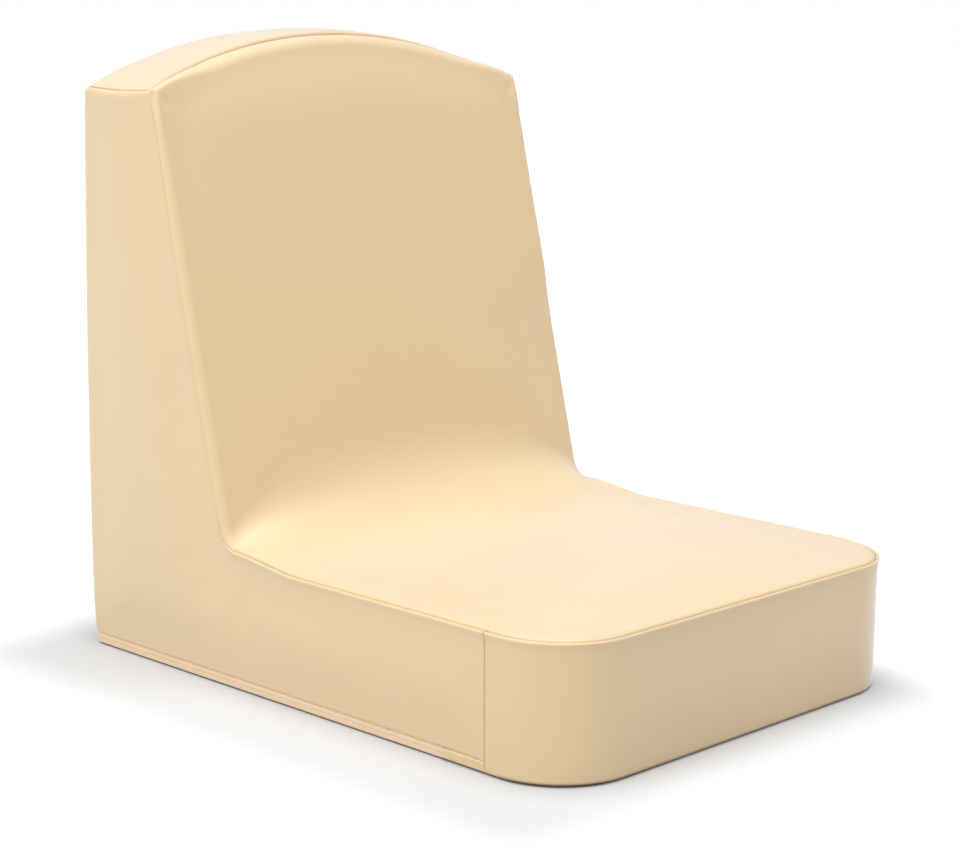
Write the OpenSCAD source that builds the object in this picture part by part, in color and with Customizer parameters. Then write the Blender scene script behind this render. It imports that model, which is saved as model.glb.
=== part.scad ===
// Soft floor seat for a small child: two glued foam blocks inside a sewn leatherette
// cover that comes off by a concealed zip along three sides of the base.
// Millimetres. X to the sitter's left, Y to the rear, Z up. The floor is z = 0.

/* [Seat] */
// Width across the ridges of the seat's edge seam
seat_w = 340; // [300:5:400]
// Depth from the front ridge to the rear face
seat_d = 450; // [420:5:520]
// Height of the seat's top edge
seat_h = 86; // [76:1:110]
// Radius of the two front corners, seen from above
corner_r = 58; // [40:1:80]
// Radius of the two rear corners, seen from above
rear_corner_r = 12; // [11:0.5:16]

/* [Backrest] */
// Height of the shoulders, where the arch begins
shoulder_h = 384; // [340:2:430]
// Rise of the arch above the shoulders
arch_rise = 34; // [22:1:48]
// Thickness of the backrest at the shoulders
back_top_d = 80; // [66:1:100]
// Lean of the backrest's face, in degrees
recline = 14; // [9:0.5:17]
// Radius of the crease in the middle, where the cover bridges it
crease_mid_r = 80; // [50:1:95]
// Radius of the crease at the side seams
crease_edge_r = 30; // [22:1:40]

/* [Cover] */
// Thickness of the leatherette
cover_t = 1.2; // [0.8:0.1:1.6]
// Space left between two sewn panels
seam_gap = 0.3; // [0.2:0.05:0.4]
// Radius of the ridge that the seat's edge seam raises
ridge_r = 1.6; // [1.2:0.1:2]
// How far that ridge stands out of the walls
ridge_proud = 1; // [0.6:0.1:1.2]
// Soft roll of the front panel along the backrest's edges
back_roll = 9; // [7:0.5:12]
// Soft roll of the front panel along the seat's edges
seat_roll = 3; // [2.2:0.1:4]
// Roll of the side panels at the shoulders
shoulder_roll = 6; // [4:0.5:8]
// Crown of the backrest's face
back_crown = 3; // [0:0.5:5]
// Crown of the seat's top
seat_crown = 2.5; // [0:0.5:5]
// How far the walls bulge between the shoulders and their fullest height
barrel = 3; // [0:0.5:5]
// Height at which the walls are fullest
barrel_z = 160; // [120:5:200]
// How far the walls are drawn in at the floor
base_draw = 4.5; // [3:0.1:5]
// Height over which they are drawn in
draw_h = 45; // [35:1:60]
// How far the front band runs past the front corners
band_wrap = 7; // [3:1:14]
// Thickness of the base fabric
base_t = 1.2; // [0.8:0.1:1.5]

/* [Foam] */
// Space between foam and cover
foam_gap = 0.3; // [0.2:0.1:0.6]
// Height of the bevel that makes room for the zip along the base
bevel_h = 26; // [22:1:32]
// Depth of that bevel at the base
bevel_d = 19; // [16:0.5:22]

/* [Zip] */
// Height of the open band in which the zip shows
zip_band = 6.8; // [6.8:0.1:8]
// Thickness of the tape
tape_t = 0.4; // [0.3:0.05:0.5]
// Width of each tape
tape_w = 12; // [10:0.5:13]
// Width of one half of the coil
coil_w = 1.8; // [1.6:0.1:2]
// Thickness of the coil
coil_t = 1.4; // [1.2:0.1:1.6]
// Length of the vinyl patches over the zip's two ends
patch_l = 36; // [30:1:44]
// Thickness of the patches
patch_t = 1; // [0.8:0.1:1.2]

/* [Slider] */
// Length of the slider's body
slider_l = 9; // [8:0.5:11]
// Thickness of its two plates
plate_t = 1; // [0.8:0.1:1.1]
// Running space between slider, coil and tape
run_gap = 0.25; // [0.2:0.05:0.3]
// Radius of the pull's cross pin
pin_r = 0.58; // [0.5:0.02:0.64]
// Clearance of the pin in its eye
pin_clear = 0.07; // [0.05:0.01:0.09]
// Length of the pull, from its pin to its tip
pull_l = 22; // [16:1:26]
// Thickness of the pull
pull_t = 1.2; // [1:0.1:1.3]

/* [Hidden] */

cover_colour = [0.95, 0.86, 0.70];
foam_colour = [0.97, 0.95, 0.84];
base_colour = [0.36, 0.31, 0.27];
tape_colour = [0.95, 0.80, 0.66];
coil_colour = [0.90, 0.72, 0.56];
patch_colour = [0.90, 0.83, 0.62];
metal_colour = [0.72, 0.68, 0.60];

// Walls: every height has its own inset from the outermost plan line.
front_line = -seat_d / 2;
rear_line = seat_d / 2 + ridge_proud;
function wall_in(z) =
  ridge_proud
  + barrel * pow((z - barrel_z) / (shoulder_h - barrel_z), 2)
  + base_draw * pow(max(0, 1 - z / draw_h), 3);
function half_w(z) = seat_w / 2 - wall_in(z);
function rear_y(z) = rear_line - wall_in(z);
band_end = front_line + corner_r + band_wrap;

// Arch, and the roll with which the side panels reach it.
arch_half_w = half_w(shoulder_h) - 0.6 * shoulder_roll;
arch_turn = 2 * atan(arch_rise / arch_half_w);
arch_r = arch_half_w / sin(arch_turn);
arch_z0 = shoulder_h + arch_rise - arch_r;
roll_turn = 90 - arch_turn;
roll_z = shoulder_h - shoulder_roll * sin(roll_turn);
function arch_z(x) = arch_z0 + sqrt(arch_r * arch_r - x * x);

// Side profile: the leaning face, the seat and the crease between them.
turn = 90 - recline;
face_step = tan(recline);
function face_y(z, deep = 0) =
  seat_d / 2 - back_top_d + (z - shoulder_h) * face_step + deep / cos(recline);
crease_y = face_y(seat_h);
function reach(r) = r * tan(turn / 2);
function smooth(t) = let (c = min(1, max(0, t))) c * c * (3 - 2 * c);
function mix(a, b, t) = a + (b - a) * t;

// Where along the crease, in degrees, each edge detail changes over.
ridge_end = 30;
notch_from = 26;
notch_to = 60;
width_from = 38;
width_to = 62;
back_edge_off = back_roll + seam_gap;
rim_in = 2 * ridge_r + seam_gap;
function edge_off(a) =
  mix(ridge_r, back_edge_off, smooth((a - notch_from) / (notch_to - notch_from)));
function rim_roll(a) = max(seat_roll, edge_off(a) - seam_gap);

// Front panel: a grid with a rolled rim.
corner_steps = 6;
middle_steps = 2;
back_rows = 5;
crease_rows = 11;
seat_rows = 4;
rim_rings = 3;
rows = back_rows + crease_rows + seat_rows;
inner_r = corner_r - rim_in - seat_roll;
straight_x = seat_w / 2 - corner_r;
half_columns = concat(
  [for (i = [0 : middle_steps]) [straight_x * i / middle_steps, 0]],
  [for (i = [1 : corner_steps]) let (a = 90 * i / corner_steps)
    [straight_x + inner_r * sin(a), a]]
);
cols = 2 * (len(half_columns) - 1);
function column(i) =
  let (k = i - cols / 2)
  k < 0 ? [-half_columns[-k][0], -half_columns[-k][1]] : half_columns[k];
function share(i) = column(i)[0] / (straight_x + inner_r);
function crease_r(s) = mix(crease_edge_r, crease_mid_r, 1 - pow(s, 4));

function on_back(i, t) =
  let (
    s = share(i),
    r = crease_r(s),
    top_z = shoulder_h - back_roll,
    low_z = seat_h + r * (1 - cos(turn)),
    x = s * (half_w(mix(top_z, low_z, t)) - back_roll),
    high_z = arch_z(s * (half_w(top_z) - back_roll)) - back_roll * (1 - sin(recline)),
    z = mix(high_z, low_z, t),
    out = back_crown * (1 - pow(s, 4)) * sin(180 * t)
  )
  [x, face_y(z) - out * cos(recline), z + out * sin(recline)];
function on_crease(i, a) =
  let (
    s = share(i),
    r = crease_r(s),
    y = crease_y - reach(r) + r * sin(a),
    z = seat_h + r * (1 - cos(a)),
    edge = mix(seat_w / 2 - rim_in, half_w(z), smooth((a - width_from) / (width_to - width_from)))
  )
  [s * (edge - rim_roll(a)), y, z];
function on_seat(i, t) =
  let (
    s = share(i),
    r = crease_r(s),
    front = front_line + corner_r - inner_r * cos(column(i)[1]),
    out = seat_crown * (1 - pow(s, 4)) * sin(180 * t)
  )
  [column(i)[0], mix(crease_y - reach(r), front, t), seat_h + out];
function row_angle(j) =
  j <= back_rows ? turn
  : j >= back_rows + crease_rows ? 0
  : turn * (1 - (j - back_rows) / crease_rows);
function grid_point(i, j) =
  j <= back_rows ? on_back(i, pow(j / back_rows, 1.8))
  : j <= back_rows + crease_rows ? on_crease(i, row_angle(j))
  : on_seat(i, (j - back_rows - crease_rows) / seat_rows);
function face_normal(j) = [0, -sin(row_angle(j)), cos(row_angle(j))];

// The rim runs once round the grid: [column, row] of each of its points.
rim_cells = concat(
  [for (i = [0 : cols]) [i, 0]],
  [for (j = [1 : rows]) [cols, j]],
  [for (i = [cols - 1 : -1 : 0]) [i, rows]],
  [for (j = [rows - 1 : -1 : 1]) [0, j]]
);
point_out = 0.86;
point_up = 0.34;
function top_out(x) =
  let (s = x / arch_r, c = sqrt(1 - s * s))
  [s, c * sin(recline), c * cos(recline)];
function rim_out(i, j) =
  j == rows ? [sin(column(i)[1]), -cos(column(i)[1]), 0]
  : j > 0 ? [i == 0 ? -1 : 1, 0, 0]
  : i == 0 || i == cols ? [(i == 0 ? -1 : 1) * point_out, point_up * face_step, point_up]
  : top_out(grid_point(i, j)[0]);
function rim_turn(j) = j == 0 ? turn : 90;
function ring_point(cell, k, deep) =
  let (
    i = cell[0],
    j = cell[1],
    a = rim_turn(j) * k / rim_rings,
    r = rim_roll(row_angle(j))
  )
  grid_point(i, j) + rim_out(i, j) * (r - deep) * sin(a)
  - face_normal(j) * (r - (r - deep) * cos(a));

function flat(lists) = [for (l = lists) for (v = l) v];
function quad(a, b, c, d) = [[a, b, c], [a, c, d]];

module front_sheet() {
  n_rim = len(rim_cells);
  layer = (cols + 1) * (rows + 1) + rim_rings * n_rim;
  function layer_points(deep) = concat(
    [for (j = [0 : rows]) for (i = [0 : cols]) grid_point(i, j) - face_normal(j) * deep],
    [for (k = [1 : rim_rings]) for (c = rim_cells) ring_point(c, k, deep)]
  );
  function at(i, j) = j * (cols + 1) + i;
  function on_ring(k, m) =
    let (w = m % n_rim)
    k == 0 ? at(rim_cells[w][0], rim_cells[w][1]) : (cols + 1) * (rows + 1) + (k - 1) * n_rim + w;
  outer = flat(concat(
    [for (j = [0 : rows - 1]) for (i = [0 : cols - 1])
      quad(at(i, j), at(i + 1, j), at(i + 1, j + 1), at(i, j + 1))],
    [for (k = [0 : rim_rings - 1]) for (m = [0 : n_rim - 1])
      quad(on_ring(k, m), on_ring(k + 1, m), on_ring(k + 1, m + 1), on_ring(k, m + 1))]
  ));
  inner = [for (f = outer) [f[0] + layer, f[2] + layer, f[1] + layer]];
  edge = flat([for (m = [0 : n_rim - 1])
    quad(on_ring(rim_rings, m), on_ring(rim_rings, m) + layer,
      on_ring(rim_rings, m + 1) + layer, on_ring(rim_rings, m + 1))]);
  polyhedron(points = concat(layer_points(0), layer_points(cover_t)), faces = concat(outer, inner, edge));
}

// A closed skin over a row of loops that all have as many points.
module skin(loops) {
  n = len(loops[0]);
  last = (len(loops) - 1) * n;
  first_cap = [for (i = [1 : n - 2]) [0, i, i + 1]];
  last_cap = [for (i = [1 : n - 2]) [last, last + i + 1, last + i]];
  sides = flat([for (j = [0 : len(loops) - 2]) for (i = [0 : n - 1])
    let (a = j * n + i, b = j * n + (i + 1) % n)
    quad(a, a + n, b + n, b)]);
  polyhedron(points = flat(loops), faces = concat(first_cap, sides, last_cap));
}

// Plan outlines: exact for flat pieces, and as points for the foam.
module rounded_plan(inset, from_y) {
  r = rear_corner_r - inset > 0.5 ? rear_corner_r - inset : 0.5;
  w = seat_w / 2 - inset;
  rear = rear_line - inset;
  translate([-w, from_y])
    square([2 * w, rear - r - from_y]);
  translate([-w + r, rear - r - 1])
    square([2 * (w - r), r + 1]);
  for (side = [-1, 1])
    translate([side * (w - r), rear - r])
      circle(r, $fn = 64);
}
module whole_plan(inset) {
  r = corner_r - inset;
  rounded_plan(inset, front_line + corner_r);
  translate([-straight_x, front_line + inset])
    square([2 * straight_x, corner_r]);
  for (side = [-1, 1])
    translate([side * straight_x, front_line + corner_r])
      circle(r, $fn = 128);
}
function plan_points(inset, z) =
  let (
    r = corner_r - inset,
    q = max(1, rear_corner_r - inset),
    w = seat_w / 2 - inset,
    rear = rear_line - inset
  )
  concat(
    [for (a = [0 : 15 : 90]) [straight_x + r * sin(a), front_line + corner_r - r * cos(a), z]],
    [for (a = [0 : 30 : 90]) [w - q + q * cos(a), rear - q + q * sin(a), z]],
    [for (a = [90 : -30 : 0]) [-w + q - q * cos(a), rear - q + q * sin(a), z]],
    [for (a = [90 : -15 : 0]) [-straight_x - r * sin(a), front_line + corner_r - r * cos(a), z]]
  );

// Wall section: x runs outwards from the outermost plan line, y is height.
wall_steps = 11;
ridge_sides = 12;
function wall_heights(low, high) =
  [for (i = [0 : wall_steps]) mix(low, high, pow(i / wall_steps, 1.6))];
module wall_section(low, high) {
  heights = wall_heights(low, high);
  polygon(concat(
    [for (z = heights) [-wall_in(z), z]],
    [for (i = [wall_steps : -1 : 0]) [-wall_in(heights[i]) - cover_t, heights[i]]]
  ));
}
module side_section() {
  heights = wall_heights(zip_top, roll_z);
  roll_in = wall_in(roll_z) + shoulder_roll;
  bends = [for (i = [1 : 5]) roll_turn * i / 5];
  polygon(concat(
    [for (z = heights) [-wall_in(z), z]],
    [for (a = bends) [-roll_in + shoulder_roll * cos(a), roll_z + shoulder_roll * sin(a)]],
    [for (i = [4 : -1 : 0]) let (q = shoulder_roll - cover_t)
      [-roll_in + q * cos(bends[i]), roll_z + q * sin(bends[i])]],
    [for (i = [wall_steps : -1 : 0]) [-wall_in(heights[i]) - cover_t, heights[i]]]
  ));
}
module band_section() {
  wall_section(base_t + 0.2, seat_h - ridge_r);
  translate([-ridge_r, seat_h - ridge_r])
    circle(ridge_r, $fn = ridge_sides);
}
// A section run along Y on the right, and turned about a corner there.
module along_y(y_from, y_to) {
  translate([seat_w / 2, y_to, 0])
    rotate([90, 0, 0])
      linear_extrude(y_to - y_from)
        children();
}
module about_corner(x, y, r, from_angle) {
  translate([x, y, 0])
    rotate([0, 0, from_angle])
      rotate_extrude(angle = 90, $fn = 96)
        translate([r, 0])
          children();
}

// Side profile of a side panel, between its seams.
module profile_cut() {
  centre_y = crease_y - reach(crease_edge_r);
  steps = crease_rows;
  rotate([90, 0, 90])
    linear_extrude(seat_w, center = true)
      polygon(concat(
        [[band_end + seam_gap / 2, 0], [rear_line, 0], [rear_line, shoulder_h + arch_rise]],
        [[face_y(shoulder_h + arch_rise, back_edge_off), shoulder_h + arch_rise]],
        [for (i = [0 : steps]) let (a = turn * (1 - i / steps), r = crease_edge_r + edge_off(a))
          [centre_y + r * sin(a), seat_h + crease_edge_r - r * cos(a)]],
        [[band_end + seam_gap / 2, seat_h - ridge_r]]
      ));
}
module side_panel() {
  centre_y = crease_y - reach(crease_edge_r);
  ridge_x = seat_w / 2 - ridge_r;
  turned_r = crease_edge_r + ridge_r;
  intersection() {
    union() {
      along_y(band_end, rear_line - rear_corner_r)
        side_section();
      about_corner(seat_w / 2 - rear_corner_r, rear_line - rear_corner_r, rear_corner_r, 0)
        side_section();
    }
    profile_cut();
  }
  translate([ridge_x, centre_y, seat_h - ridge_r])
    rotate([90, 0, 0])
      cylinder(h = centre_y - band_end - seam_gap / 2, r = ridge_r, $fn = ridge_sides);
  translate([ridge_x, centre_y, seat_h + crease_edge_r])
    rotate([0, 90, 0])
      rotate_extrude(angle = ridge_end, $fn = 96)
        translate([turned_r, 0])
          circle(ridge_r, $fn = ridge_sides);
}
module right_side_panel() {
  color(cover_colour)
    side_panel();
}
module left_side_panel() {
  color(cover_colour)
    mirror([1, 0, 0])
      side_panel();
}

module front_cover_panel() {
  color(cover_colour)
    front_sheet();
}

// Band round the front and both front corners, up to the side panels.
module front_band() {
  run = band_wrap - seam_gap / 2;
  color(cover_colour) {
    translate([straight_x, front_line, 0])
      rotate([0, 0, -90])
        rotate([90, 0, 0])
          linear_extrude(2 * straight_x)
            band_section();
    for (side = [0, 1])
      mirror([side, 0, 0]) {
        about_corner(straight_x, front_line + corner_r, corner_r, -90)
          band_section();
        along_y(front_line + corner_r, front_line + corner_r + run)
          band_section();
      }
  }
}

// Arched strip over the top, seamed to the front, the sides and the rear.
module top_gusset() {
  front_off = back_roll * (1 - cos(turn)) + seam_gap;
  rear_in = wall_in(shoulder_h) + cover_t + seam_gap;
  ends_in = asin((arch_half_w - seam_gap) / arch_r);
  far = arch_r * 2;
  plan_r = max(1, rear_corner_r - rear_in - shoulder_roll * 0.6);
  color(cover_colour)
    intersection() {
      translate([0, rear_line, arch_z0])
        rotate([90, 0, 0])
          linear_extrude(seat_d)
            intersection() {
              difference() {
                circle(arch_r, $fn = 360);
                circle(arch_r - cover_t, $fn = 360);
              }
              polygon([[0, 0], [far * sin(ends_in), far * cos(ends_in)],
                [-far * sin(ends_in), far * cos(ends_in)]]);
            }
      rotate([90, 0, 90])
        linear_extrude(seat_w, center = true)
          polygon([
            [face_y(0, front_off), 0],
            [rear_line - rear_in - barrel, 0],
            [rear_y(shoulder_h + arch_rise) - cover_t - seam_gap, shoulder_h + arch_rise + 1],
            [face_y(shoulder_h + arch_rise + 1, front_off), shoulder_h + arch_rise + 1]
          ]);
    }
}

module rear_panel() {
  half = seat_w / 2 - rear_corner_r - seam_gap;
  color(cover_colour)
    intersection() {
      translate([-half, rear_line, 0])
        rotate([0, 0, 90])
          rotate([90, 0, 0])
            linear_extrude(2 * half)
              wall_section(zip_top, shoulder_h + arch_rise);
      translate([0, rear_line, arch_z0])
        rotate([90, 0, 0])
          linear_extrude(2 * rear_corner_r)
            circle(arch_r, $fn = 360);
    }
}

module base_panel() {
  color(base_colour)
    linear_extrude(base_t)
      whole_plan(wall_in(base_t));
}

// Foam: a slab with its edges eased, and a wedge glued on it.
joint_z = seat_h - cover_t - foam_gap;
cove_in = 2;
under = cover_t + foam_gap;
module seat_foam() {
  levels = [
    [base_t + foam_gap + tape_t, bevel_d],
    [zip_top, zip_reach],
    [bevel_h, wall_in(bevel_h) + under],
    [seat_h * 0.6, wall_in(seat_h * 0.6) + under],
    [seat_h - 2 * ridge_r - seat_roll, wall_in(seat_h) + under],
    [seat_h - seat_roll - foam_gap, rim_in + under + foam_gap],
    [joint_z, rim_in + seat_roll]
  ];
  color(foam_colour)
    skin([for (l = levels) plan_points(l[1], l[0])]);
}
// Outline of the backrest's foam at one inset, as [x, z] points.
function back_outline(inset) =
  let (
    side_steps = 6,
    low = joint_z,
    high = arch_z(half_w(shoulder_h) - inset - shoulder_roll * 0.6) - inset,
    sides = [for (i = [0 : side_steps]) mix(low, high, i / side_steps)],
    top_x = half_w(shoulder_h) - inset - shoulder_roll * 0.6
  )
  concat(
    [for (z = sides) [half_w(z) - inset - (z == high ? shoulder_roll * 0.6 : 0), z]],
    [for (i = [1 : 9]) let (x = top_x * (1 - i / 5)) [x, arch_z(x) - inset]],
    [for (i = [side_steps : -1 : 0])
      [-half_w(sides[i]) + inset + (i == side_steps ? shoulder_roll * 0.6 : 0), sides[i]]]
  );
module back_foam() {
  ease = back_roll - under;
  front_loops = [for (a = [0, 45, 90])
    [for (p = back_outline(back_roll - ease * sin(a)))
      [p[0], face_y(p[1], back_roll - ease * cos(a)), p[1]]]];
  rear_loops = [for (step = [[under, rear_corner_r], [rear_corner_r, under]])
    [for (p = back_outline(step[0])) [p[0], rear_y(p[1]) - step[1], p[1]]]];
  function under_crease(i, a) =
    on_crease(i, a) - (under + (a > turn - 1 ? 0.4 : 0)) * [0, -sin(a), cos(a)];
  function cove_loop(i) =
    let (toe = under_crease(i, turn / crease_rows))
    concat(
      [[toe[0], crease_y + 2 * back_roll, joint_z], [toe[0], toe[1], joint_z]],
      [for (k = [1 : crease_rows]) under_crease(i, turn * k / crease_rows)]
    );
  color(foam_colour) {
    skin([rear_loops[1], rear_loops[0], front_loops[2], front_loops[1], front_loops[0]]);
    skin([for (i = [cols - cove_in : -1 : cove_in]) cove_loop(i)]);
  }
}

// Zip: tapes and coil run round the left side, the rear and the right side.
zip_top = base_t + zip_band;
tape_in = wall_in(zip_top) + cover_t + seam_gap;
coil_in = tape_in + tape_t;
flange_t = 0.75;
slider_w = 2 * (coil_w + run_gap + flange_t) + 0.2;
zip_z = base_t + tape_t + run_gap + slider_w / 2;
half_slit = 0.05;
patch_front = band_end + seam_gap;
patch_rear = patch_front + patch_l;
left_end = patch_front + 10;
stop_l = 3;
slider_y = patch_rear + seam_gap + slider_l / 2;
zip_reach = coil_in + coil_t + run_gap + plate_t + 1;
part_h = 1.1;
module zip_run(inset, thick, low, high, left_y, right_y) {
  translate([0, 0, low])
    linear_extrude(high - low)
      difference() {
        rounded_plan(inset, front_line);
        rounded_plan(inset + thick, front_line - 1);
        translate([-seat_w, front_line - 2])
          square([seat_w, left_y - front_line + 2]);
        translate([0, front_line - 2])
          square([seat_w, right_y - front_line + 2]);
      }
}
// Where the two tapes part, ahead of the closed slider.
module parting() {
  apex = slider_y + 0.6;
  spread = apex - 2;
  rotate([90, 0, 90])
    linear_extrude(seat_w)
      polygon([
        [apex, zip_z], [spread, zip_z + part_h], [front_line, zip_z + part_h],
        [front_line, zip_z - part_h], [spread, zip_z - part_h]
      ]);
}
module upper_zip_tape() {
  color(tape_colour)
    difference() {
      zip_run(tape_in, tape_t, zip_z + half_slit, zip_z + tape_w, left_end, left_end);
      parting();
    }
}
module lower_zip_tape() {
  upright = zip_z - half_slit - base_t;
  color(tape_colour) {
    difference() {
      zip_run(tape_in, tape_t, base_t, base_t + upright, left_end, left_end);
      parting();
    }
    zip_run(tape_in, tape_w - upright, base_t, base_t + tape_t, left_end, left_end);
  }
}
module upper_zip_coil() {
  color(coil_colour)
    zip_run(coil_in, coil_t, zip_z + half_slit, zip_z + coil_w, left_end + stop_l, slider_y + run_gap);
}
module lower_zip_coil() {
  color(coil_colour)
    zip_run(coil_in, coil_t, zip_z - coil_w, zip_z - half_slit, left_end + stop_l, slider_y + run_gap);
}
module stop_block(low, high) {
  translate([seat_w / 2 - coil_in - coil_t, 0, low])
    cube([coil_t, stop_l, high - low]);
}
module zip_top_stops() {
  color(metal_colour)
    translate([0, slider_y - slider_l / 2 - run_gap - stop_l, 0]) {
      stop_block(zip_z + part_h, zip_z + coil_w + 0.6);
      stop_block(zip_z - coil_w - 0.6, zip_z - part_h);
    }
}
module zip_bottom_stop() {
  color(metal_colour)
    mirror([1, 0, 0])
      translate([0, left_end, 0])
        stop_block(zip_z - coil_w, zip_z + coil_w);
}

// A flat piece with round corners in the plane of the zip, x_low to x_high.
module tab(x_low, x_high, y_from, y_to, half_h, r) {
  rotate([90, 0, 90])
    translate([0, 0, x_low])
      linear_extrude(x_high - x_low) {
        translate([y_from + r, zip_z - half_h])
          square([y_to - y_from - 2 * r, 2 * half_h]);
        translate([y_from, zip_z - half_h + r])
          square([y_to - y_from, 2 * (half_h - r)]);
        for (y = [y_from + r, y_to - r], z = [zip_z - half_h + r, zip_z + half_h - r])
          translate([y, z])
            circle(r, $fn = 32);
      }
}
module end_patch() {
  x_low = seat_w / 2 - tape_in + seam_gap / 2;
  tab(x_low, x_low + patch_t, patch_front, patch_rear, zip_top - zip_z - seam_gap, 1);
}
module right_zip_end_patch() {
  color(patch_colour)
    end_patch();
}
module left_zip_end_patch() {
  color(patch_colour)
    mirror([1, 0, 0])
      end_patch();
}

// Slider: two plates joined by a wedge, with an eye for the pull's pin.
plate_in_x = seat_w / 2 - coil_in - coil_t - run_gap;
plate_out_x = seat_w / 2 - tape_in + run_gap;
eye_r = 1.35;
pivot_x = plate_out_x + plate_t + eye_r;
eye_w = 1.4;
arm_w = 1.1;
module zip_slider() {
  from_y = slider_y - slider_l / 2;
  to_y = slider_y + slider_l / 2;
  wedge = 0.8;
  color(metal_colour) {
    tab(plate_in_x - plate_t, plate_in_x, from_y, to_y, slider_w / 2, 1.2);
    tab(plate_out_x, plate_out_x + plate_t, from_y, to_y, slider_w / 2, 1.2);
    for (z = [zip_z - slider_w / 2, zip_z + slider_w / 2 - flange_t])
      translate([plate_in_x - plate_t / 2, from_y + 1.2, z])
        cube([plate_t / 2 + coil_t - 0.1, slider_l - 2.4, flange_t]);
    rotate([90, 0, 90])
      translate([0, 0, plate_in_x - plate_t / 2])
        linear_extrude(plate_out_x - plate_in_x + plate_t)
          polygon([
            [from_y + 0.4, zip_z - wedge], [slider_y - 1.4, zip_z - wedge], [slider_y - 0.2, zip_z],
            [slider_y - 1.4, zip_z + wedge], [from_y + 0.4, zip_z + wedge]
          ]);
    translate([0, 0, zip_z - eye_w / 2])
      linear_extrude(eye_w)
        difference() {
          union() {
            translate([pivot_x, slider_y])
              circle(eye_r, $fn = 48);
            translate([plate_out_x + plate_t / 2, slider_y - eye_r])
              square([eye_r + plate_t / 2, 2 * eye_r]);
          }
          translate([pivot_x, slider_y])
            circle(pin_r + pin_clear, $fn = 48);
        }
  }
}
module zip_pull() {
  arm_from = eye_w / 2 + run_gap;
  web_y = 2.2;
  color(metal_colour) {
    translate([pivot_x, slider_y, zip_z - arm_from - arm_w])
      cylinder(h = 2 * (arm_from + arm_w), r = pin_r, $fn = 32);
    for (low = [zip_z + arm_from, zip_z - arm_from - arm_w])
      translate([0, 0, low])
        linear_extrude(arm_w) {
          translate([pivot_x, slider_y])
            circle(0.9, $fn = 32);
          translate([pivot_x - pull_t / 2, slider_y - web_y - 1])
            square([pull_t, web_y + 1]);
        }
    tab(pivot_x - pull_t / 2, pivot_x + pull_t / 2, slider_y - pull_l, slider_y - web_y,
      arm_from + arm_w + 0.5, 0.9);
  }
}

seat_foam();
back_foam();
front_cover_panel();
left_side_panel();
right_side_panel();
front_band();
top_gusset();
rear_panel();
base_panel();
upper_zip_tape();
lower_zip_tape();
upper_zip_coil();
lower_zip_coil();
zip_top_stops();
zip_bottom_stop();
left_zip_end_patch();
right_zip_end_patch();
zip_slider();
zip_pull();
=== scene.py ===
import math

import bmesh
import bpy
import numpy as np
from mathutils import Matrix, Vector, noise
from mathutils.kdtree import KDTree


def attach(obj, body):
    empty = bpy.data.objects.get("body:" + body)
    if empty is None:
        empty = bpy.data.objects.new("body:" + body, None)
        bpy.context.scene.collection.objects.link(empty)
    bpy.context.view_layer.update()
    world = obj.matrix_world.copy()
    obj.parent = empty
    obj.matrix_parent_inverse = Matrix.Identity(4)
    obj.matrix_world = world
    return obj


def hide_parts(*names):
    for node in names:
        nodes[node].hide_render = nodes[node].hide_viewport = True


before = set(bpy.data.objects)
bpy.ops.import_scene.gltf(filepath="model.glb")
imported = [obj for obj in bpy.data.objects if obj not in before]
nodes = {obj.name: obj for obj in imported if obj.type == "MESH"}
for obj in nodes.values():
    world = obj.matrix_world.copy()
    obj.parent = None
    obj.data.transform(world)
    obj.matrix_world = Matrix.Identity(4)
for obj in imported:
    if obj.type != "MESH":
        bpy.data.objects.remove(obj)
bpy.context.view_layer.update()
scene = bpy.context.scene
print("frame loaded with", len(nodes), "nodes")

mm = 0.001  # everything below is worked out in millimetres

# The outline of the walls, seen from above, and the side profile.
form = {
    "halfWidth": 170.0,
    "frontLine": -225.0,
    "rearLine": 225.3,
    "frontCorner": 54.0,
    "rearCorner": 4.0,
    "seatHeight": 88.6,
    "shoulderHeight": 385.5,
    "archRise": 35.0,
    "faceAtShoulder": 145.0,
    "recline": math.radians(14.0),
    "fullestHeight": 160.0,
    "barrel": 1.8,
    "barrelReach": 224.0,
    "leftTuck": 2.0,
    "rightTuck": 4.5,
    "frontTuck": 0.4,
    "tuckHeight": 45.0,
    "footHalf": 166.0,
    "frontEnd": 235.0,
    "frontEase": 30.0,
    "rearBlend": 60.0,
    "sideBlend": 50.0,
    "footRoll": 2.2,
    "shoulderRoll": 3.5,
    "shoulderShare": 0.585,
    "roll": 6.0,
    "shoulderEdge": 4.0,
    "archRoll": 10.0,
    "archDrop": 2.1,
    "seatDrop": 2.8,
    "seatLift": 0.4,
    "seamDip": 1.5,
    "flatSeam": 0.2,
    "bandEnd": -160.0,
    "zipTop": 8.0,
    "coverThickness": 1.1,
    # Where a change along the form starts, and how long it takes.
    "edgeFade": (290.0, 80.0),
    "shoulderFade": (355.0, 20.0),
    "archRollFade": (105.0, 50.0),
    "archDropFade": (115.0, 40.0),
    "ridgeFade": (0.7, 0.28),
}
halfWidth = form["halfWidth"]
frontLine = form["frontLine"]
frontCorner = form["frontCorner"]
rearCorner = form["rearCorner"]
seatHeight = form["seatHeight"]
shoulderHeight = form["shoulderHeight"]
recline = form["recline"]
turn = math.pi / 2 - recline
straightX = halfWidth - frontCorner
sideStart = straightX + math.pi / 2 * frontCorner
sideEnd = sideStart + form["rearLine"] - rearCorner - frontLine - frontCorner
rearStart = sideEnd + math.pi / 2 * rearCorner
sideRun, rearRun = 400.0, 700.0  # on the outline, where it is straight: the side, the rear
seamZone, seamSteps = 14.0, 5  # how far from a seam the points stand closer, and in how many steps


def smooth(t):
    t = np.clip(t, 0.0, 1.0)
    return t * t * (3 - 2 * t)


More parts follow.
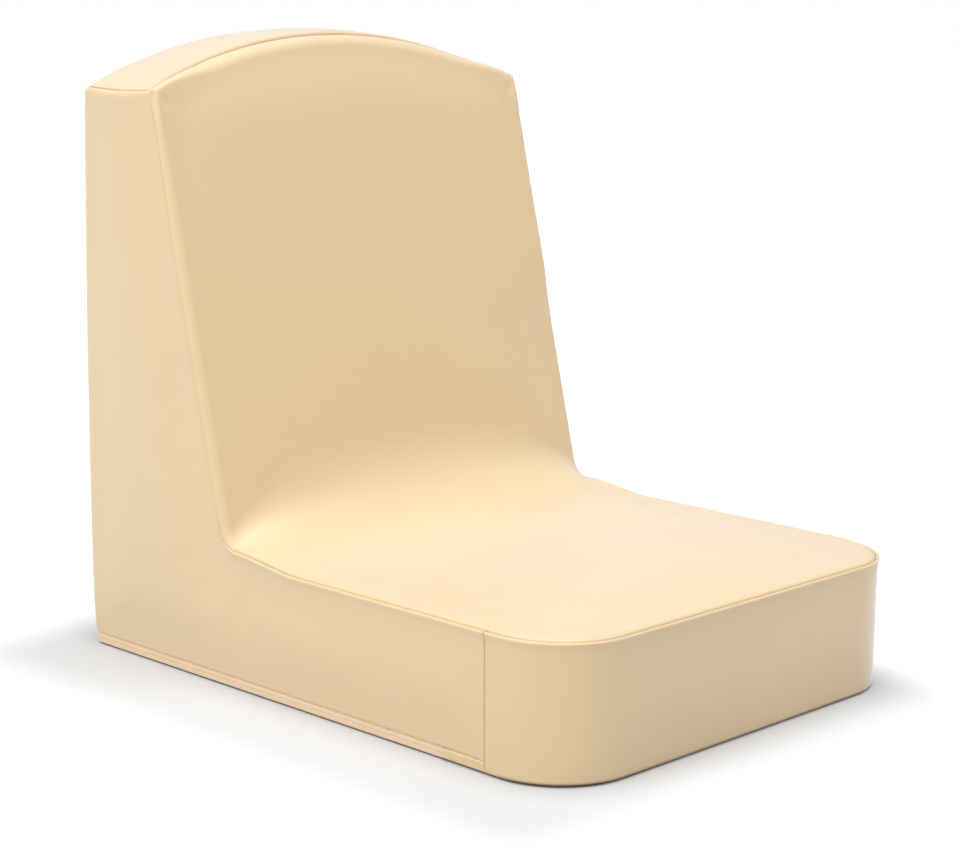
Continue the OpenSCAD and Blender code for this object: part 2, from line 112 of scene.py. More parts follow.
def mix(a, b, t):
    return a + (b - a) * t


def fadeIn(value, key):  # 0 before the named change starts, 1 once it is over
    start, reach = form[key]
    return smooth((value - start) / reach)


def runAt(y):  # where along the outline the straight side passes y
    return sideStart + y - frontLine - frontCorner


def planAt(run, inset):  # place and outward direction on the wall, from the front's middle
    s, side = np.abs(run), np.where(run < 0, -1.0, 1.0)
    a = np.clip((s - straightX) / frontCorner, 0, math.pi / 2)
    b = np.clip((s - sideEnd) / rearCorner, 0, math.pi / 2)
    x = np.where(s < straightX, s, straightX + frontCorner * np.sin(a))
    y = frontLine + frontCorner * (1 - np.cos(a)) + np.clip(s, sideStart, sideEnd) - sideStart
    x = x - rearCorner * (1 - np.cos(b)) - np.maximum(0, s - rearStart)
    y = y + rearCorner * np.sin(b)
    x = x - inset * np.sin(a) * (1 - smooth((s - rearStart) / form["rearBlend"]))
    y = y + inset * (np.cos(a) - smooth((s - sideEnd + form["sideBlend"]) / form["sideBlend"]))
    return x * side, y, np.sin(a) * np.cos(b) * side, np.sin(b) - np.cos(a)


def frontShare(run):  # 1 round the front, 0 along the sides
    return smooth((form["frontEnd"] - np.abs(run)) / form["frontEase"])


def tuckAcross(x):  # how far the walls' foot is drawn in, from the left side to the right
    share = np.clip((x + form["footHalf"]) / (2 * form["footHalf"]), 0, 1)
    return mix(form["leftTuck"], form["rightTuck"], share)


def wallInset(run, z, tuck=None):  # how far the wall stands inside the outline
    if tuck is None:
        tuck = np.where(np.asarray(run) < 0, form["leftTuck"], form["rightTuck"])
    foot = np.clip(form["footRoll"] - z, 0, form["footRoll"])
    rolled = form["footRoll"] - np.sqrt(form["footRoll"] ** 2 - foot ** 2)
    low = np.maximum(0, 1 - z / form["tuckHeight"]) ** 3
    fullest = 1 + form["barrel"] * ((z - form["fullestHeight"]) / form["barrelReach"]) ** 2
    return fullest + mix(tuck * low, form["frontTuck"] * low + rolled, frontShare(run))


archHalf = halfWidth - wallInset(sideRun, shoulderHeight)
archHalf -= form["shoulderShare"] * form["shoulderRoll"]
archTurn = 2 * math.atan(form["archRise"] / archHalf)
archRadius = archHalf / math.sin(archTurn)
archBase = shoulderHeight + form["archRise"] - archRadius
shoulderTurn = math.pi / 2 - archTurn
shoulderStart = shoulderHeight - form["shoulderRoll"] * math.sin(shoulderTurn)
wallTop = shoulderStart + form["shoulderRoll"] * shoulderTurn


def archAt(x):
    return archBase + np.sqrt(archRadius ** 2 - np.asarray(x) ** 2)


def rollAt(z):  # the face's side edges get sharper towards the shoulders
    return mix(form["roll"], form["shoulderEdge"], fadeIn(z, "edgeFade"))


def archRollAt(x):  # the cover rolls wider over the arch than down its sides
    return mix(form["archRoll"], form["shoulderEdge"], fadeIn(np.abs(x), "archRollFade"))


def archDropAt(x):  # the face's roll over the arch stays below the gusset
    return form["archDrop"] * (1 - fadeIn(np.abs(x), "archDropFade"))


def dipAt(z):  # the side seams pinch at the shoulders and lie nearly flat below
    return form["seamDip"] * mix(form["flatSeam"], 1.0, fadeIn(z, "shoulderFade"))


def faceAt(z, deep=0.0):  # where the backrest's face stands, or a plane that much behind it
    rise = (z - shoulderHeight) * math.tan(recline)
    return form["faceAtShoulder"] + rise + deep / math.cos(recline)


def onWall(run, height, out):  # the wall, with its roll towards the arch above the shoulder
    bend = np.clip((height - shoulderStart) / form["shoulderRoll"], 0, None)
    z = np.minimum(height, shoulderStart) + form["shoulderRoll"] * np.sin(bend)
    x, y, nx, ny = planAt(run, wallInset(run, z) + form["shoulderRoll"] * (1 - np.cos(bend)))
    level = out * np.cos(bend)
    return np.stack([x + nx * level, y + ny * level, z + out * np.sin(bend)], -1)


def groove(d, r):  # how deep a seamed edge of radius r dips at distance d from its seam
    near = np.clip(1 - d / r, 0, 1)
    return r * (1 - np.sqrt(1 - near * near))


def fromEdge(r, far=seamZone, steps=seamSteps):
    # distances from a seam: close together in its groove, then wider
    curl = [r * (1 - math.cos(math.radians(a))) for a in (0, 25, 45, 60, 75, 90)]
    return curl + [r + (far - r) * ((i + 1) / steps) ** 1.5 for i in range(steps)]


def between(low, high, r, pitch):  # stations from seam to seam
    ends, inside = fromEdge(r), high - low - 2 * seamZone
    count = max(2, int(round(inside / pitch)))
    inner = [low + seamZone + inside * i / count for i in range(1, count)]
    return np.array([low + d for d in ends] + inner + [high - d for d in reversed(ends)])


shoulderSag = {"depth": 1.5, "from": 152.0, "length": 70.0, "reach": 11.0}


def sagged(points):  # the gusset's end seams hang a little between their corners
    x, y, z = points[..., 0], points[..., 1], points[..., 2]
    t = np.clip((y - shoulderSag["from"]) / shoulderSag["length"], 0, 1)
    far = (np.abs(x) - archHalf) ** 2 + (z - shoulderHeight) ** 2
    near = np.exp(-far / shoulderSag["reach"] ** 2)
    moved = points.copy()
    moved[..., 2] -= shoulderSag["depth"] * np.sin(math.pi * t) * near
    return moved


def ripple(points, size, seed):  # smooth noise, about -1 to 1, at points in millimetres
    flat = points.reshape(-1, 3)
    got = [noise.noise(Vector((p[0] / size + seed, p[1] / size, p[2] / size))) for p in flat]
    return np.array(got).reshape(points.shape[:-1])


def placed(name, data):  # a new object, linked to the scene
    made = bpy.data.objects.new(name, data)
    scene.collection.objects.link(made)
    return made


def meshFrom(name, points, faces):
    mesh = bpy.data.meshes.new(name)
    mesh.from_pydata((np.asarray(points) * mm).tolist(), [], faces)
    mesh.polygons.foreach_set("use_smooth", [True] * len(mesh.polygons))
    mesh.update()
    return placed(name, mesh)


def sheetFrom(name, grid, flip=False):  # a grid of points, its faces turned over by flip
    rows, cols = grid.shape[:2]
    faces = []
    for j in range(rows - 1):
        for i in range(cols - 1):
            a = j * cols + i
            quad = (a, a + 1, a + cols + 1, a + cols)
            faces.append(quad[::-1] if flip else quad)
    return meshFrom(name, grid.reshape(-1, 3), faces)


def distanceTo(piece, rows):  # from every point to the nearest of the given ones
    verts = piece.data.vertices
    tree = KDTree(len(rows))
    for i, k in enumerate(rows):
        tree.insert(verts[int(k)].co, i)
    tree.balance()
    return np.array([tree.find(v.co)[2] / mm for v in verts])


# How wide the painted shade along the seams' grooves is, and where the seams lie flat how strong it
# is there.
seamShade = {
    "width": 0.9,
    "sideFrom": 150.0,
    "backSides": {"front": 160.0, "above": 105.0, "shade": 0.1},
    "bandEnds": {"reach": 12.0, "below": 84.0, "shade": 0.3},
    "seatTop": {"front": 130.0, "above": 78.0, "below": 112.0, "shade": 0.4},
}


# Paints shade into the seams' grooves: each point's "seam" value, which darkens the cover's colour
# there.
def paintSeamShade(piece, rows, wideRows=None, wideWidth=1.0, wideShade=1.0):  # the shade, per point
    near = distanceTo(piece, rows)
    place = np.array([v.co for v in piece.data.vertices]) / mm
    y, z, onSide = place[:, 1], place[:, 2], np.abs(place[:, 0]) > seamShade["sideFrom"]
    back, band, seat = seamShade["backSides"], seamShade["bandEnds"], seamShade["seatTop"]
    inBack = onSide & (y < back["front"]) & (z > back["above"])
    inBand = onSide & (np.abs(y - form["bandEnd"]) < band["reach"]) & (z < band["below"])
    inSeat = (y < seat["front"]) & (z > seat["above"]) & (z < seat["below"])
    faint = np.where(inBack, mix(back["shade"], 1.0, fadeIn(z, "shoulderFade")), 1.0)
    faint = np.where(inSeat, seat["shade"], np.where(inBand, band["shade"], faint))
    shade = faint * np.exp(-(near / seamShade["width"]) ** 2)
    if wideRows:
        wide = wideShade * np.exp(-(distanceTo(piece, wideRows) / wideWidth) ** 2)
        shade = np.maximum(shade, wide)
    layer = piece.data.attributes.new("seam", "FLOAT", "POINT")
    layer.data.foreach_set("value", shade.astype(np.float32))
    return near


def edgeRows(shape, sides, step=1):  # the points of a grid along the named sides
    order = np.arange(shape[0] * shape[1]).reshape(shape[:2])
    picks = {"first": order[step], "last": order[-1 - step], "left": order[:, step],
             "right": order[:, -1 - step], "rim": order[:, -1]}
    return sorted(set(np.concatenate([picks[k] for k in sides]).tolist()))


# Front cover: the backrest's face, the crease and the seat's top in one panel.
frontCover = {
    "middleArcs": [(420.0, math.radians(3.0)), (170.0, math.radians(7.0))],
    "middleRadius": 74.0,
    "edgeRadius": 16.0,
    "edgeRampAngle": math.radians(7.0),
    "edgeRampLength": 44.0,
    "edgeRampRadius": 90.0,
    "backCrown": 3.0,
    "seatCrown": 2.5,
    "backRows": 75,
    "backEasing": 1.15,
    "backFoot": 110.0,
    "seatRows": 67,
    "creaseRows": 34,
    "columnPitch": 3.6,
    "cornerColumns": 26,
    "ringAngles": 9,
    "foldRings": 3,
    "fanSteps": 8,
    "fanEasing": 1.65,
    # A painted shade line on the seat's edge roll, at this ring just above where the ridge hides
    # the groove: its width, strength, and how far up the crease it runs.
    "seatShadeRing": 7,
    "seatShadeWidth": 0.8,
    "seatShadeStrength": 0.3,
    "seatShadeEnd": 0.8,
    "ridgeDip": 0.84,
}


def creaseCurve(pieces, count=120):  # arcs and straights from the seat's level to the lean
    y, z, angle, path = 0.0, 0.0, 0.0, [(0.0, 0.0)]
    for kind, size, amount in pieces:
        for i in range(count):
            if kind == "arc":
                step = amount / count
                y += size * (math.sin(angle + step) - math.sin(angle))
                z += size * (math.cos(angle) - math.cos(angle + step))
                angle += step
            else:
                y += size / count * math.cos(angle)
                z += size / count * math.sin(angle)
            path.append((y, z))
    path = np.array(path)
    path[:, 1] += seatHeight
    path[:, 0] += faceAt(path[-1, 1]) - path[-1, 0]
    run = np.concatenate([[0], np.cumsum(np.hypot(*np.diff(path, axis=0).T))])
    even = np.linspace(0, run[-1], 200)
    return np.stack([np.interp(even, run, path[:, k]) for k in (0, 1)], -1)


middleCrease = creaseCurve([("arc", r, a) for r, a in frontCover["middleArcs"]] + [
    ("arc", frontCover["middleRadius"], turn - sum(a for _, a in frontCover["middleArcs"]))])
edgeCrease = creaseCurve([
    ("arc", frontCover["edgeRampRadius"], frontCover["edgeRampAngle"]),
    ("straight", frontCover["edgeRampLength"], 0),
    ("arc", frontCover["edgeRadius"], turn - frontCover["edgeRampAngle"]),
])


def creaseAt(share, q):  # place and slope of the crease, q from the seat (0) to the face (1)
    where = np.clip(q, 0, 1) * (len(middleCrease) - 1)
    steps = np.arange(len(middleCrease))
    tight = np.abs(share) ** 4

    def onCurves(w):
        both = [np.stack([np.interp(w, steps, c[:, k]) for k in (0, 1)], -1)
                for c in (middleCrease, edgeCrease)]
        return mix(both[0], both[1], tight[..., None])

    here = onCurves(where)
    ahead = onCurves(np.minimum(where + 1.0, steps[-1])) - onCurves(np.maximum(where - 1.0, 0))
    ahead /= np.linalg.norm(ahead, axis=-1, keepdims=True)
    return here, ahead


def ridgeShare(q):  # 1 where the ridge runs round the seat, 0 up the backrest
    return 1 - fadeIn(q, "ridgeFade")


def rimDropAt(q):  # how far the cover rolls down to its seam
    return mix(form["roll"], form["seatDrop"], ridgeShare(q))


ridgeInset = 3.4  # from the outline to the seat cover's edge, past the ridge
innerCorner = frontCorner - ridgeInset - form["roll"]
reachX = straightX + innerCorner


def columnsAcross():  # places across the seat, and their angle round the front corner
    count = int(straightX / frontCover["columnPitch"])
    flat = [(straightX * i / count, 0.0) for i in range(count + 1)]
    bent = [(straightX + innerCorner * math.sin(a), a)
            for a in np.radians(np.linspace(0, 90, frontCover["cornerColumns"] + 1)[1:])]
    half = flat + bent
    return np.array([(-x, -a) for x, a in reversed(half[1:])] + half)


def frontGrid():
    columns = columnsAcross()
    share = columns[:, 0] / reachX
    backRows, seatRows = frontCover["backRows"], frontCover["seatRows"]
    creaseRows = frontCover["creaseRows"]
    roll = form["roll"]
    points, normals, qs = [], [], []
    up = np.array([0, math.sin(recline), math.cos(recline)])
    faceOut = np.array([0, -math.cos(recline), math.sin(recline)])
    creaseTop, _ = creaseAt(share, np.ones_like(share))
    for j in range(backRows):
        t = (j / backRows) ** frontCover["backEasing"]
        level = mix(shoulderHeight - roll, frontCover["backFoot"], t)
        x = share * (halfWidth - wallInset(sideRun, level) - rollAt(level))
        highZ = archAt(share * (halfWidth - wallInset(sideRun, shoulderHeight) - roll))
        highZ = highZ - archRollAt(x) * (1 - math.sin(recline)) - archDropAt(x)
        z = mix(highZ, creaseTop[:, 1], t)
        crown = frontCover["backCrown"] * (1 - np.abs(share) ** 3) * math.sin(math.pi * t)
        points.append(np.stack([x, faceAt(z), z], -1) + crown[:, None] * faceOut)
        normals.append(np.tile(faceOut, (len(x), 1)))
        qs.append(np.ones(len(x)))
    for j in range(creaseRows + 1):
        q = np.full(len(share), 1 - j / creaseRows)
        here, ahead = creaseAt(share, q)
        wide = halfWidth - roll - mix(wallInset(sideRun, here[:, 1]), ridgeInset, ridgeShare(q))
        lift = form["seatLift"] * ridgeShare(q)
        points.append(np.stack([share * wide, here[:, 0], here[:, 1] + lift], -1))
        normals.append(np.stack([0 * q, -ahead[:, 1], ahead[:, 0]], -1))
        qs.append(q)
    toe = points[-1][:, 1]
    front = frontLine + frontCorner - innerCorner * np.cos(columns[:, 1])
    for j in range(1, seatRows + 1):
        t = j / seatRows
        y = mix(toe, front, t)
        full = float(smooth(t / 0.5)) if t < 0.5 else 1 - (2 * t - 1) ** 4
        crown = frontCover["seatCrown"] * (1 - np.abs(share) ** 4) * full
        points.append(np.stack([columns[:, 0], y, seatHeight + form["seatLift"] + crown], -1))
        normals.append(np.tile([0.0, 0.0, 1.0], (len(y), 1)))
        qs.append(np.zeros(len(y)))
    return np.array(points), np.array(normals), np.array(qs), columns, up


def frontMesh():
    points, normals, qs, columns, up = frontGrid()
    rows, cols = points.shape[:2]
    rim = []  # row, column, outward direction, how far the roll turns
    lean = math.asin(points[0, -1, 0] / archRadius)

    def fanOut(t):  # turns from the arch's own direction to sideways, squared off between
        a = mix(lean, math.pi / 2, t ** frontCover["fanEasing"])
        size = (math.cos(a) ** 4 + math.sin(a) ** 4) ** -0.25
        size = 1 + (size - 1) * float(smooth((a - lean) / (math.pi / 4 - lean)))
        return size * (math.sin(a) * np.array([1.0, 0, 0]) + math.cos(a) * up)

    def archOut(i):
        s = points[0, i, 0] / archRadius
        c = math.sqrt(1 - s * s)
        return np.array([s, c * math.sin(recline), c * math.cos(recline)])

    for i in range(1, cols - 1):
        rim.append((0, i, archOut(i), turn))
    fan = [k / frontCover["fanSteps"] for k in range(frontCover["fanSteps"] + 1)]
    for t in fan:  # round the shoulder's point
        rim.append((0, cols - 1, fanOut(t), mix(turn, math.pi / 2, t)))
    for j in range(1, rows):
        rim.append((j, cols - 1, np.array([1.0, 0, 0]), math.pi / 2))
    for i in range(cols - 2, 0, -1):
        a = columns[i, 1]
        rim.append((rows - 1, i, np.array([math.sin(a), -math.cos(a), 0]), math.pi / 2))
    for j in range(rows - 1, 0, -1):
        rim.append((j, 0, np.array([-1.0, 0, 0]), math.pi / 2))
    for t in reversed(fan):
        rim.append((0, 0, fanOut(t) * (-1, 1, 1), mix(turn, math.pi / 2, t)))
    flat = list(points.reshape(-1, 3))
    faces = []
    for j in range(rows - 1):
        for i in range(cols - 1):
            a = j * cols + i
            faces.append((a, a + cols, a + cols + 1, a + 1))
    ring = [j * cols + i for j, i, _, _ in rim]
    steps, folds = frontCover["ringAngles"], frontCover["foldRings"]
    seatShadeLine = []
    for k in range(1, steps + folds + 1):
        nextRing = []
        for j, i, out, most in rim:
            r, drop = form["roll"], float(rimDropAt(qs[j, i]))
            if qs[j, i] == 1:
                r = drop = float(rollAt(points[j, i, 2]))
            if j == 0:
                r = drop = float(archRollAt(points[j, i, 0]))
            a = most * min(1, k / steps)
            o, n = r * math.sin(a), -drop * (1 - math.cos(a))
            if k > steps:
                b = math.pi / 2 * (k - steps) / folds
                dip, ridgeDip = float(dipAt(points[j, i, 2])), frontCover["ridgeDip"]
                small = mix(dip, ridgeDip, float(ridgeShare(qs[j, i])))
                o -= small * (math.sin(most) - math.sin(most + b))
                n -= small * (math.cos(most) - math.cos(most + b))
            # this ring carries the painted shade line along the seat's edge
            if k == frontCover["seatShadeRing"] and qs[j, i] < frontCover["seatShadeEnd"]:
                seatShadeLine.append(len(flat))
            nextRing.append(len(flat))
            flat.append(points[j, i] + out * o + normals[j, i] * n)
        count = len(rim)
        for m in range(count):
            a, b = ring[m], ring[(m + 1) % count]
            c, d = nextRing[(m + 1) % count], nextRing[m]
            faces.append((a, b, c, d) if a != b else (a, c, d))
        ring = nextRing
    piece = meshFrom("frontCover", np.array(flat), faces)
    line = frontCover["seatShadeWidth"], frontCover["seatShadeStrength"]
    return piece, paintSeamShade(piece, ring, seatShadeLine, *line)


frontPiece, frontNear = frontMesh()
print("front cover", len(frontPiece.data.polygons), "faces")

# Side panels: L-shaped, from the rear seam round the corner to the front band.
sideCover = {
    "pitch": 5.0,
    "crossColumns": 30,
    "seam": 1.5,
    "uprightSeam": 0.9,
    "hem": 1.0,
    "turnIn": 2.4,
    "leanFade": 30.0,
    "cornerPast": 12.0,
    "ridgeAbove": 8.0,
    "ridgeFade": 5.0,
}
# The panel's edge along the front cover, as [up, out] from its seam: a turned ridge beside the
# seat, a plain seam beside the backrest.
beadAngles = np.radians([-40, 0, 35, 70, 100, 130, 160])
ridgeProfile = np.array(
    [[-9.0, 0.0], [-6.9, 0.0], [-5.4, 0.1], [-4.5, 0.3], [-3.8, 0.55]]
    + [[-2.35 + 1.25 * math.sin(a), -0.2 + 1.25 * math.cos(a)] for a in beadAngles]
    + [[-2.7, -1.6], [-3.4, -1.75], [-4.2, -1.9]])


def plainProfile(dip):
    return np.array(
        [[-9.0, 0.0], [-6.4, 0.0], [-4.4, 0.0], [-3.0, 0.0], [-2.0, 0.0]]
        + [[dip * math.sin(a) - dip, dip * math.cos(a) - dip] for a in np.radians(range(0, 91, 18))]
        + [[0.0, -dip - 0.5 * k] for k in range(1, 5)])


def sideRows():  # the inner edge: run, height, direction out of the panel, ridge share, seam dip
    lowZ = edgeCrease[-1, 1]
    down = np.array(fromEdge(sideCover["seam"]))
    rest = wallTop - lowZ - seamZone
    count = int(rest / sideCover["pitch"])
    down = np.concatenate([down, seamZone + rest * np.arange(1, count) / count])
    height = wallTop - down
    bend = np.clip((height - shoulderStart) / form["shoulderRoll"], 0, None)
    z = np.minimum(height, shoulderStart) + form["shoulderRoll"] * np.sin(bend)
    lean = recline * smooth(down / sideCover["leanFade"])
    dips = dipAt(z)
    rows = [(runAt(faceAt(z[k], rollAt(z[k]) + dips[k])), height[k],
             -math.cos(lean[k]), math.sin(lean[k]), 0.0, dips[k]) for k in range(len(down))]
    for q in np.linspace(1, 0, 40)[:-1]:
        here, ahead = creaseAt(np.array([1.0]), np.array([q]))
        (y, zz), (ay, az) = here[0], ahead[0]
        share = float(ridgeShare(q))
        off = (form["roll"] + dips[-1]) * (1 - share)
        rows.append((runAt(y + az * off), zz - ay * off, -az, ay, share, dips[-1]))
    toe = edgeCrease[0, 0]
    ends, rest = fromEdge(sideCover["seam"]), toe - form["bandEnd"] - seamZone
    count = int(rest / sideCover["pitch"])
    ys = [toe - rest * k / count for k in range(count)]
    ys += [form["bandEnd"] + d for d in reversed(ends)]
    rows += [(runAt(y), seatHeight, 0.0, 1.0, 1.0, dips[-1]) for y in ys]
    return np.array(rows), wallTop - lowZ


def sideGrid():
    rows, backLength = sideRows()
    run, height = rows[:, 0], rows[:, 1]
    step = np.hypot(np.diff(run), np.diff(height))
    fromTop = np.concatenate([[0], np.cumsum(step)])
    total = fromTop[-1]
    bottom, rear = form["zipTop"], rearStart
    rearLength = wallTop - bottom
    bottomLength = rear - runAt(form["bandEnd"])
    split = np.searchsorted(fromTop, backLength + sideCover["cornerPast"])
    grid = []
    for j in range(len(rows)):
        if j < split:
            d, whole = fromTop[j], fromTop[split]
            drop = d + (rearLength - whole) * (d / whole) ** 2
            outer = np.array([rear, wallTop - drop])
        else:
            e, whole = total - fromTop[j], total - fromTop[split]
            along = e + (bottomLength - whole) * (e / whole) ** 2
            outer = np.array([runAt(form["bandEnd"]) + along, bottom])
        w = rows[j, 4]
        profile = mix(plainProfile(rows[j, 5]), ridgeProfile, w)
        direction = rows[j, 2:4]
        inner = [np.array([run[j], height[j]]) + direction * a for a, _ in profile]
        start = inner[0]
        way = start - outer
        length = np.linalg.norm(way)
        near = fromEdge(sideCover["hem"])
        n = sideCover["crossColumns"]
        far = [seamZone + (length - seamZone) * k / n for k in range(1, n)]
        across = [outer + way / length * d for d in near + far]
        outs = [0.0] * len(across) + [b for _, b in profile]
        grid.append([(p[0], p[1], b) for p, b in zip(across + inner, outs)])
    return np.array(grid)


def underRidge(h):  # lets an upright seam fade out where the ridge crosses it
    above = h - seatHeight + sideCover["ridgeAbove"]
    return sideCover["seam"] * smooth(above / sideCover["ridgeFade"])


def grooved(flatGrid, dips):  # a flat panel with its seams' grooves
    run, height, out = flatGrid[..., 0], flatGrid[..., 1], flatGrid[..., 2]
    for distance, r in dips:
        out = out - groove(distance(run, height), r)
    return run, height, out


def turnedIn(run, height, out, foot):  # adds the edges that turn in: both ends and the foot
    run, height, out = [np.concatenate([a[:1], a, a[-1:]], 0) for a in (run, height, out)]
    out[0] -= sideCover["turnIn"]
    out[-1] -= sideCover["turnIn"]
    run, height, out = [np.concatenate([a[:, :1], a], 1) for a in (run, height, out)]
    out[:, 0] -= foot
    return run, height, out


def sideMesh(name, side):
    flat = sideGrid()
    first, last = runAt(form["bandEnd"]), rearStart
    run, height, out = grooved(flat, [
        (lambda s, h: np.maximum(0, wallTop - h), sideCover["seam"]),
        (lambda s, h: np.maximum(0, s - first) + underRidge(h), sideCover["uprightSeam"]),
        (lambda s, h: np.maximum(0, last - s), sideCover["seam"]),
        (lambda s, h: np.maximum(0, h - form["zipTop"]), sideCover["hem"]),
    ])
    run, height, out = turnedIn(run, height, out, sideCover["turnIn"])
    points = sagged(onWall(run * side, height, out))
    piece = sheetFrom(name, points, flip=side < 0)
    return piece, paintSeamShade(piece, edgeRows(points.shape, ["first", "last", "left", "rim"]))


leftPiece, leftNear = sideMesh("leftSideCover", -1)
rightPiece, rightNear = sideMesh("rightSideCover", 1)
print("side covers", len(leftPiece.data.polygons), "faces each")

# Front band: round the front and both corners, with the turned ridge along its top.
bandCover = {"pitch": 4.0, "bottom": 1.3, "footHeight": 7.0, "footRows": 7, "footEasing": 1.4,
             "underTurn": 5.0, "cornerLift": 0.5, "liftPlace": 42.0, "liftReach": 55.0,
             "liftHeight": 40.0}


def bandMesh():
    end = runAt(form["bandEnd"])
    runs = between(-end, end, sideCover["seam"], bandCover["pitch"])
    low, n = bandCover["bottom"], bandCover["footRows"]
    heights = [low + bandCover["footHeight"] * (k / n) ** bandCover["footEasing"]
               for k in range(n + 1)]
    top = seatHeight + ridgeProfile[0, 0]
    count = int((top - heights[-1]) / bandCover["pitch"])
    heights += [heights[-1] + (top - heights[-1]) * k / count for k in range(1, count)]
    flat = []
    for s in runs:
        line = [(s, h, 0.0) for h in heights]
        line += [(s, seatHeight + a, b) for a, b in ridgeProfile]
        flat.append(line)
    flat = np.array(flat)
    run, height, out = grooved(flat, [
        (lambda s, h: np.maximum(0, end - np.abs(s)) + underRidge(h), sideCover["uprightSeam"]),
    ])
    run, height, out = turnedIn(run, height, out, bandCover["underTurn"])
    points = onWall(run, height, out)
    past = run + sideStart - bandCover["liftPlace"]
    atCorner = np.exp(-(past / bandCover["liftReach"]) ** 2)
    low = np.clip(1 - height / bandCover["liftHeight"], 0, 1)
    points[..., 2] += bandCover["cornerLift"] * atCorner * low
    piece = sheetFrom("frontBandCover", points, flip=True)
    return piece, paintSeamShade(piece, edgeRows(points.shape, ["first", "last", "left", "rim"]))


bandPiece, bandNear = bandMesh()

# Gusset over the arch, and the rear panel.
gussetCover = {"pitch": 4.5, "seam": 1.5, "frontSeam": 4.4, "frontShade": 3.3, "depth": 80.0,
               "rearRoll": 3.0, "rearRows": 74, "crown": 1.6, "crownReach": 60.0,
               "endGap": 0.2}


def gussetMesh():
    half = math.asin((archHalf - gussetCover["endGap"]) / archRadius)
    seam, pitch, depth = gussetCover["seam"], gussetCover["pitch"], gussetCover["depth"]
    along = between(-half * archRadius, half * archRadius, seam, pitch)
    ends = fromEdge(gussetCover["frontSeam"])  # the front seam's groove is wider than the rear's
    shares = [d / depth for d in ends] + list(between(0.0, depth, seam, pitch)[len(ends):] / depth)
    points = []
    for s in along:
        a = s / archRadius
        x, z = archRadius * math.sin(a), archBase + archRadius * math.cos(a)
        roll, drop = float(archRollAt(x)), float(archDropAt(x))
        front = faceAt(z - roll * (1 - math.sin(recline)) - drop)
        front += roll * math.cos(recline) + form["seamDip"]
        frontSeam = mix(seam, gussetCover["frontSeam"], drop / form["archDrop"])
        rear = form["rearLine"] - float(wallInset(rearRun, z))
        rear = rear - gussetCover["rearRoll"] - form["seamDip"]
        edge = half * archRadius - abs(s)
        line = []
        for t in shares:
            y = mix(front, rear, t)
            dip = groove(y - front, frontSeam) + groove(rear - y, seam)
            full = math.sin(math.pi * t) ** 0.7 * min(1, edge / gussetCover["crownReach"]) ** 0.5
            line.append((a, y, dip + groove(edge, seam) - gussetCover["crown"] * full))
        points.append(line)
    points = np.array(points)
    points = np.concatenate([points[:, :1], points, points[:, -1:]], 1)
    points[:, 0, 2] += sideCover["turnIn"]
    points[:, -1, 2] += sideCover["turnIn"]
    points = np.concatenate([points[:1], points, points[-1:]], 0)
    points[0, :, 2] += sideCover["turnIn"]
    points[-1, :, 2] += sideCover["turnIn"]
    a, y, dip = points[..., 0], points[..., 1], points[..., 2]
    r = archRadius - dip
    grid = sagged(np.stack([r * np.sin(a), y, archBase + r * np.cos(a)], -1))
    piece = sheetFrom("topGusset", grid, flip=True)
    rows = edgeRows(grid.shape, ["first", "last", "left", "right"])
    # the front edge gets a wider painted shade line, where the groove's own shade is hidden behind
    # the face's roll
    frontRows = edgeRows(grid.shape, ["left"])
    return piece, paintSeamShade(piece, rows, frontRows, gussetCover["frontShade"])


def rearMesh():
    half = halfWidth - rearCorner
    xs = between(-half, half, gussetCover["seam"], gussetCover["pitch"])
    low, roll = form["zipTop"], gussetCover["rearRoll"]
    columns = []
    for x in xs:
        top = float(archAt(x)) - roll
        hem = [low + d for d in fromEdge(sideCover["hem"])]
        count = gussetCover["rearRows"]
        zs = hem + [hem[-1] + (top - hem[-1]) * k / count for k in range(1, count + 1)]
        line = [(x, z, 0.0, groove(z - low, sideCover["hem"])) for z in zs]
        for a in np.linspace(0, math.pi / 2, 7)[1:]:
            line.append((x, top + roll * math.sin(a), roll * (1 - math.cos(a)), 0.0))
        for b in (0.5, 1.0):
            a = math.pi / 2 * b
            line.append((x, top + roll - form["seamDip"] * (1 - math.cos(a)),
                         roll + form["seamDip"] * math.sin(a), 0.0))
        line.append((x, line[-1][1] - 2.0, line[-1][2], 0.0))
        line.insert(0, (x, low, 0.0, line[0][3] + sideCover["turnIn"]))
        columns.append(line)
    flat = np.array(columns)
    flat = np.concatenate([flat[:1], flat, flat[-1:]], 0)
    x, z, back, dip = (flat[..., k] for k in range(4))
    side = groove(np.maximum(0, half - np.abs(x)), sideCover["seam"])
    inset = wallInset(rearRun, np.minimum(z, shoulderHeight), tuckAcross(x))
    y = form["rearLine"] - inset - back - dip - side
    x = x * (1 - inset / half)
    y[0] -= sideCover["turnIn"]
    y[-1] -= sideCover["turnIn"]
    piece = sheetFrom("rearCover", np.stack([x, y, z], -1))
    return piece, paintSeamShade(piece, edgeRows(x.shape, ["first", "last", "left", "right"]))


gussetPiece, gussetNear = gussetMesh()
rearPiece, rearNear = rearMesh()
print("gusset and rear cover made")

# Soft work: the covers are filled by a short cloth run, then get their small waves and puckers.
softWork = {
    "cloth": {
        "quality": 5,
        "mass": 0.3,
        "tension_stiffness": 18,
        "compression_stiffness": 18,
        "shear_stiffness": 8,
        "bending_stiffness": 8.0,
        "use_pressure": True,
        "uniform_pressure_force": 4.0,
        "shrink_min": -0.001,
    },
    "frames": 20,
    "heldTo": 9.0,
    "heldFade": 14.0,
    "capOut": 2.5,
    "capIn": 0.3,
    "capCrease": 0.7,
    "creaseMiddle": (45.0, 105.0),
    "creaseReach": (50.0, 40.0),
    "evening": 14,
    "waveHeight": 0.3,
    "waveSize": 55.0,
    "waveFrom": 25.0,
    "seamWaveHeight": 0.3,
    "seamWaveSize": 9.0,
    "seamWaveReach": 9.0,
    "stillReach": 2.0,
    "firstSeed": 3.7,
    "rightShoulder": 0.8,
}
